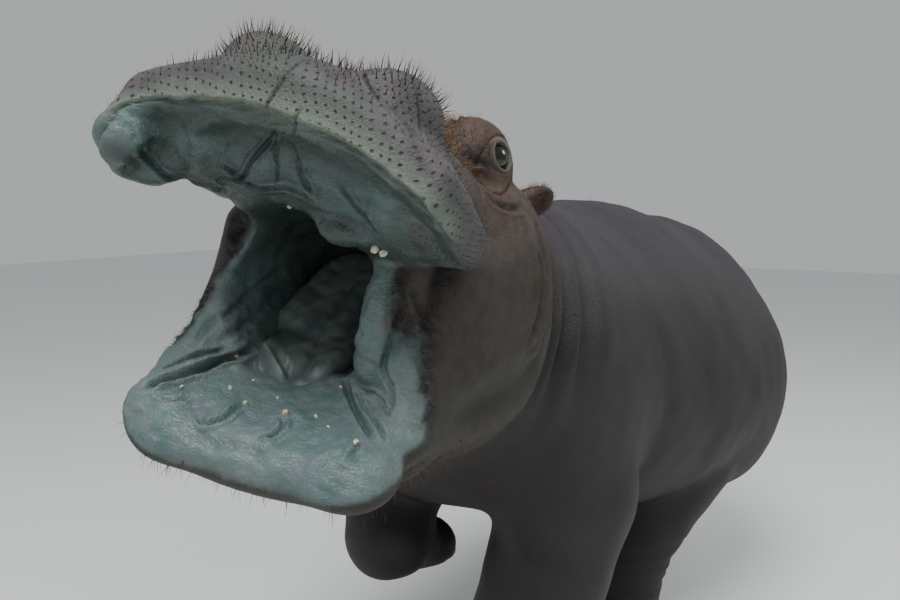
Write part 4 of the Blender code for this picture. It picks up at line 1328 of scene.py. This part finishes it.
# ---- tongue, eyes, teeth and nails ---------------------------------------------------
def make_tongue():
    """A broad blade with a trough, its near edge curled over, filling the mouth's floor."""
    clay = Clay("tongue")
    frames = {
        "blade": clay.tilted(clay.world, (-0.022, -0.168, -0.0520), (5, 0, -7)),
        "root": clay.tilted(clay.world, (-0.034, -0.088, -0.0340), (20, 0, -10)),
        "world": clay.world,
    }
    shapes = (
        ("blade", "box", 10, (0, 0, 0), (45, 76, 13.5), 12),
        ("root", "box", 20, (0, 0, 0), (41, 78, 30), 20),
        ("world", "limb", -20, (-17, -220, -30), (-34, -40, 36), 18, 26),
    )
    clay.sculpt(frames, shapes)
    mesh = clay.mesh((-0.10, -0.30, -0.13), (0.08, 0.06, 0.06), TONGUE_GRID)
    points = read(mesh, "co")
    x, y, z = points.T
    upper = ease(-0.062, -0.052, z)
    lift = 0.0007 * waves(points, 0.018, 41) * upper
    lift += 0.0005 * waves(points * (1.6, 0.5, 1), 0.012, 42) * upper
    groove = bell(x + 0.018 + 0.10 * (y + 0.15), 0.004)
    lift -= 0.0035 * groove * upper * ease(-0.24, -0.2, y)
    lift -= 0.011 * ease(-0.212, -0.244, y)
    flap = np.array([(-0.056, -0.215, 0), (-0.026, -0.238, 0)])
    curl, _ = line_distance(points * (1, 1, 0), flap)
    lift += 0.007 * bell(curl, 0.005) - 0.004 * bell(curl - 0.009, 0.004) * upper
    points[:, 2] += lift
    set_points(mesh, points)
    mesh.transform(JAW.to_4x4())
    mesh.transform(Matrix.Translation(JAW_JOINT))
    # Slate grey and wet, velvety with papillae 2 mm apart.
    finish = mottled_finish(
        "wet_tongue", (30.0, 4.0), (0.35, 0.65), ("#4b5654", "#66706d"),
        (0.35, 0.0006, 520.0), Roughness=0.44,
    )
    return piece("tongue_blade", mesh, finish)


def make_eye(side, name, finish):
    """An eyeball with a bulging cornea; its iris and bar of pupil face outwards."""
    across, tall = 64, 40
    iris, pupil_half, pupil_tall = 0.0128, 0.0052, 0.0026
    cornea, cornea_spread = 0.0013, 0.55  # its rise in metres and its reach in radians
    back = 1.6  # radians from the cornea's middle, past which nothing is drawn
    angles = np.linspace(0, math.pi, tall)
    points, ring, pupil = [], [], []
    for angle in angles:
        count = 1 if angle in (angles[0], angles[-1]) else across
        for k in range(count):
            around = 2 * math.pi * k / across
            radius = EYE_RADIUS + cornea * math.exp(-((angle / cornea_spread) ** 4))
            x = radius * math.sin(angle) * math.cos(around)
            y = radius * math.sin(angle) * math.sin(around)
            points.append((x, y, radius * math.cos(angle)))
            ring.append(math.hypot(x, y) / iris + (angle > back) * 2)
            pupil.append(math.hypot(x / pupil_half, y / pupil_tall) + (angle > back) * 9)
    faces = []
    last = len(points) - 1
    for k in range(across):
        after = (k + 1) % across
        faces.append((0, 1 + k, 1 + after))
        for row in range(tall - 3):
            a = 1 + row * across
            faces.append((a + k, a + across + k, a + across + after, a + after))
        a = 1 + (tall - 3) * across
        faces.append((last, a + after, a + k))
    points = np.array(points) @ eye_axes(side) + eye_middle(side)
    mesh = mesh_of(name, out_of(points, HEAD), faces)
    if side < 0:
        mesh.flip_normals()
    store(mesh, "ring", np.array(ring))
    store(mesh, "pupil", np.array(pupil))
    return piece(name, mesh, finish)


# Place and half-width, in the frame of the jaw that each tooth stands in.
LOWER_TEETH = (
    (-0.094, -0.302, 0.0022), (-0.057, -0.279, 0.0022), (-0.072, -0.240, 0.0024),
    (-0.032, -0.293, 0.0027), (0.010, -0.295, 0.0030), (0.036, -0.286, 0.0019),
    (0.040, -0.243, 0.0018), (0.086, -0.314, 0.0033), (-0.045, -0.255, 0.0014),
    (0.055, -0.300, 0.0015), (-0.010, -0.272, 0.0012),
)
UPPER_TEETH = ((-0.022, -0.262, 0.0024), (0.072, -0.277, 0.0038), (0.080, -0.278, 0.0034))


def seat(place, way):
    """A place, with +Z turned along a way."""
    return Matrix.Translation(place) @ way.to_track_quat("Z", "Y").to_matrix().to_4x4()


def worn(name, shape, roughness, swell, seed):
    """Takes the mesh out of bmesh, a little uneven."""
    mesh = bpy.data.meshes.new(name)
    shape.to_mesh(mesh)
    shape.free()
    points = read(mesh, "co")
    uneven = roughness * waves(points, swell, seed)[:, None]
    set_points(mesh, points + read(mesh, "normal") * uneven)
    return mesh


def make_teeth(skin_points, skin_normals):
    """Milk teeth just through the gum: low rounded cones, each on its own bed."""
    shape = bmesh.new()
    for jaw_of, teeth, face in ((JAW, LOWER_TEETH, 1), (HEAD, UPPER_TEETH, -1)):
        x, y, z = in_frame(skin_points, jaw_of).T
        facing = (skin_normals @ rows(jaw_of))[:, 2] * face > 0.2
        bed = facing & (z * face < (0.0 if face > 0 else 0.20)) & (np.abs(z + 0.05) < 0.05)
        for tooth_x, tooth_y, half in teeth:
            at = np.where(bed, np.hypot(x - tooth_x, y - tooth_y), 9).argmin()
            up = Vector(skin_normals[at])
            place = seat(Vector(skin_points[at]) + up * half * 0.15, up)
            place = place @ Matrix.Diagonal((half, half * 0.85, half * 1.25, 1))
            bmesh.ops.create_icosphere(shape, subdivisions=3, radius=1, matrix=place)
    # Cream enamel, satin, a little stained.
    finish = mottled_finish(
        "milk_tooth_enamel", (150.0, 3.0), (0.3, 0.7), ("#c6c4aa", "#a39d80"),
        Roughness=0.28, IOR=1.62,
    )
    return piece("milk_teeth", worn("milk_teeth", shape, 0.0004, 0.004, 51), finish)


def make_nails():
    """Four blunt nails to a foot, each a low dome with a worn front edge."""
    shape = bmesh.new()
    names = []
    size = Matrix.Diagonal((*NAIL_HALF, 1))
    for foot in (*FEET, "forefoot_right"):
        ahead, rise = (1, -0.55) if foot == "forefoot_right" else (-1, 0.35)
        for i, angle in enumerate(TOES):
            names.append("nail_" + foot + "_" + str(i + 1))
            low, high = (Vector(corner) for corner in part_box(names[-1]))
            way = math.radians(angle)
            out = Vector((math.sin(way), ahead * math.cos(way), rise)).normalized()
            dome = {"u_segments": 24, "v_segments": 14, "radius": 1}
            place = seat((low + high) / 2, out) @ size
            bmesh.ops.create_uvsphere(shape, **dome, matrix=place)
    # Dull brown-grey horn, with growth lines 1 mm apart.
    finish = mottled_finish(
        "toenail_horn", (1.0, 2.0, (60, 60, 900)), (0.3, 0.7), ("#4d423b", "#6b5d52"),
        (0.4, 0.0005), Roughness=0.45,
    )
    mesh = worn("toenails", shape, 0.0005, 0.012, 61)
    return piece("toenails", mesh, finish, Vector()), names


# ---- floor, light and camera --------------------------------------------------------
LAMPS = (  # place, aim, size across and watts
    ("key_lamp", (0.6, -1.6, 3.0), (0.05, -0.25, 0.6), 1.5, 98),
    ("side_lamp", (-2.6, -2.2, 1.5), (0.0, -0.4, 0.6), 1.8, 11),
    ("front_lamp", (1.0, -2.6, 1.0), (0.05, -0.7, 0.7), 1.2, 5),
    ("rim_lamp", (2.4, 1.6, 2.4), (0.0, 0.1, 0.6), 1.5, 40),
)


def studio():
    """A plain pale floor, a pale room, and four soft lamps."""
    world = bpy.data.worlds.new("room")
    bpy.context.scene.world = world
    world.use_nodes = True
    back = world.node_tree.nodes["Background"]
    back.inputs["Color"].default_value = linear("#dfe3e4")
    back.inputs["Strength"].default_value = 0.62
    half = 9
    corners = [(-half, -half, 0), (half, -half, 0), (half, half, 0), (-half, half, 0)]
    mesh = mesh_of("floor", corners, [(0, 1, 2, 3)])
    paint = {"Base Color": linear("#e6e8e8"), "Roughness": 0.7}  # matt floor paint
    mesh.materials.append(finish_of("studio_floor", **paint)[0])
    new_object("floor", mesh)
    for name, place, aim, size, power in LAMPS:
        light = bpy.data.lights.new(name, "AREA")
        light.shape = "DISK"
        light.size = size
        light.energy = power
        lamp = new_object(name, light)
        lamp.location = place
        lamp.rotation_euler = (Vector(aim) - Vector(place)).to_track_quat("-Z", "Y").to_euler()


def camera():
    view = bpy.data.cameras.new("camera")
    view.lens = 40
    view.sensor_width = 36
    seen = new_object("camera", view)
    seen.location = Vector((0.7084, -1.4704, 0.808)) + SHIFT
    seen.rotation_euler = (math.radians(90 - 6.3), 0, math.radians(31))
    bpy.context.scene.camera = seen


# ---- build ---------------------------------------------------------------------------
FLESH = ["head", "lower_jaw", "neck", "trunk", "tail", "ear_left", "ear_right"]
for side in ("left", "right"):
    FLESH += [part + side for part in ("foreleg_", "forefoot_", "hindleg_", "hindfoot_")]


def thin_out(mesh, most):
    """Takes points away where the skin is plainest, down to that many triangles."""
    count = sum(len(face.vertices) - 2 for face in mesh.polygons)
    item = new_object("thinning", mesh)
    item.modifiers.new("fewer", "DECIMATE").ratio = min(1.0, most / count)
    made = as_built(item)
    bpy.data.objects.remove(item)
    return made


def make_skin():
    """The skin, folded and marked, and the bed that hair grows from."""
    mesh = skin_mesh()
    refine(mesh)
    hide = Hide(mesh)
    fold = fold_lines(hide)
    for more in mouth_folds(hide):
        fold += more
    depth = fold + neck_folds(hide) + body_folds(hide) + leg_folds(hide)
    marks = zones(hide, depth)
    set_points(mesh, hide.points + hide.normals * depth[:, None] + lids(hide))
    for name, values in marks.items():
        store(mesh, name, values)
    mesh = thin_out(mesh, MOST_FACES)
    bed = Roots(mesh)
    return piece("skin", mesh, hide_material()), bed


def finished(item, slot, *nodes):
    """Ties a piece to the body and hides the imported parts that it stands for."""
    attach(item, "root")
    if nodes:
        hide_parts(*nodes)


camera()
studio()
skin, bed = make_skin()
finished(skin, "body_skin", *FLESH)
finished(make_tongue(), "tongue_flesh", "tongue")
eye_finish = eye_material()
finished(make_eye(1, "eyeball_left", eye_finish), "eye_gloss", "eye_left")
finished(make_eye(-1, "eyeball_right", eye_finish), "eye_gloss", "eye_right")
finished(make_teeth(bed.points, bed.normals), "nail_horn")
nails, nail_names = make_nails()
finished(nails, "nail_horn", *nail_names)
dark = hair_material("dark_bristle", "#1d1513", "#8a6a3c")
brown = hair_material("golden_fuzz", "#3a2716", "#a07a45")
black = hair_material("coarse_cheek_hair", "#17120f", "#4a3a2a")
red = hair_material("ear_hair", "#2a1712", "#8d6242")
head_back, head_up = rows(HEAD)[:, 1], rows(HEAD)[:, 2]
fuzz = (brow_weight, 2800, 0.5, head_back, 0.45, (6, 16), (0.022, 0.45))
finished(snout_bristles(bed, dark), "head_skin")
finished(coat("brow_fuzz", bed, brown, *fuzz), "head_skin")
finished(cheek_hair(bed, black), "head_skin")
for slot, name, finish, *hairs in (
    ("head_skin", "chin_hair", dark, chin_weight, 420, 0, (0, 0, -1), 0.3, (7, 18), (0.022, 0.35)),
    ("ear_skin", "ear_fringe", red, ear_weight, 2200, 0.7, head_up, 0.3, (3, 9), (0.024, 0.35)),
    ("body_skin", "body_hair", dark, body_weight, 900, 0.6, (0, 1, -0.3), 0.3, (6, 14),
     (0.022, 0.3)),
    ("body_skin", "tail_brush", dark, tail_weight, 420, 0.9, (0, 0.1, -1), 0.25, (10, 26),
     (0.020, 0.2)),
):
    finished(coat(name, bed, finish, *hairs), slot)
bpy.context.view_layer.update()
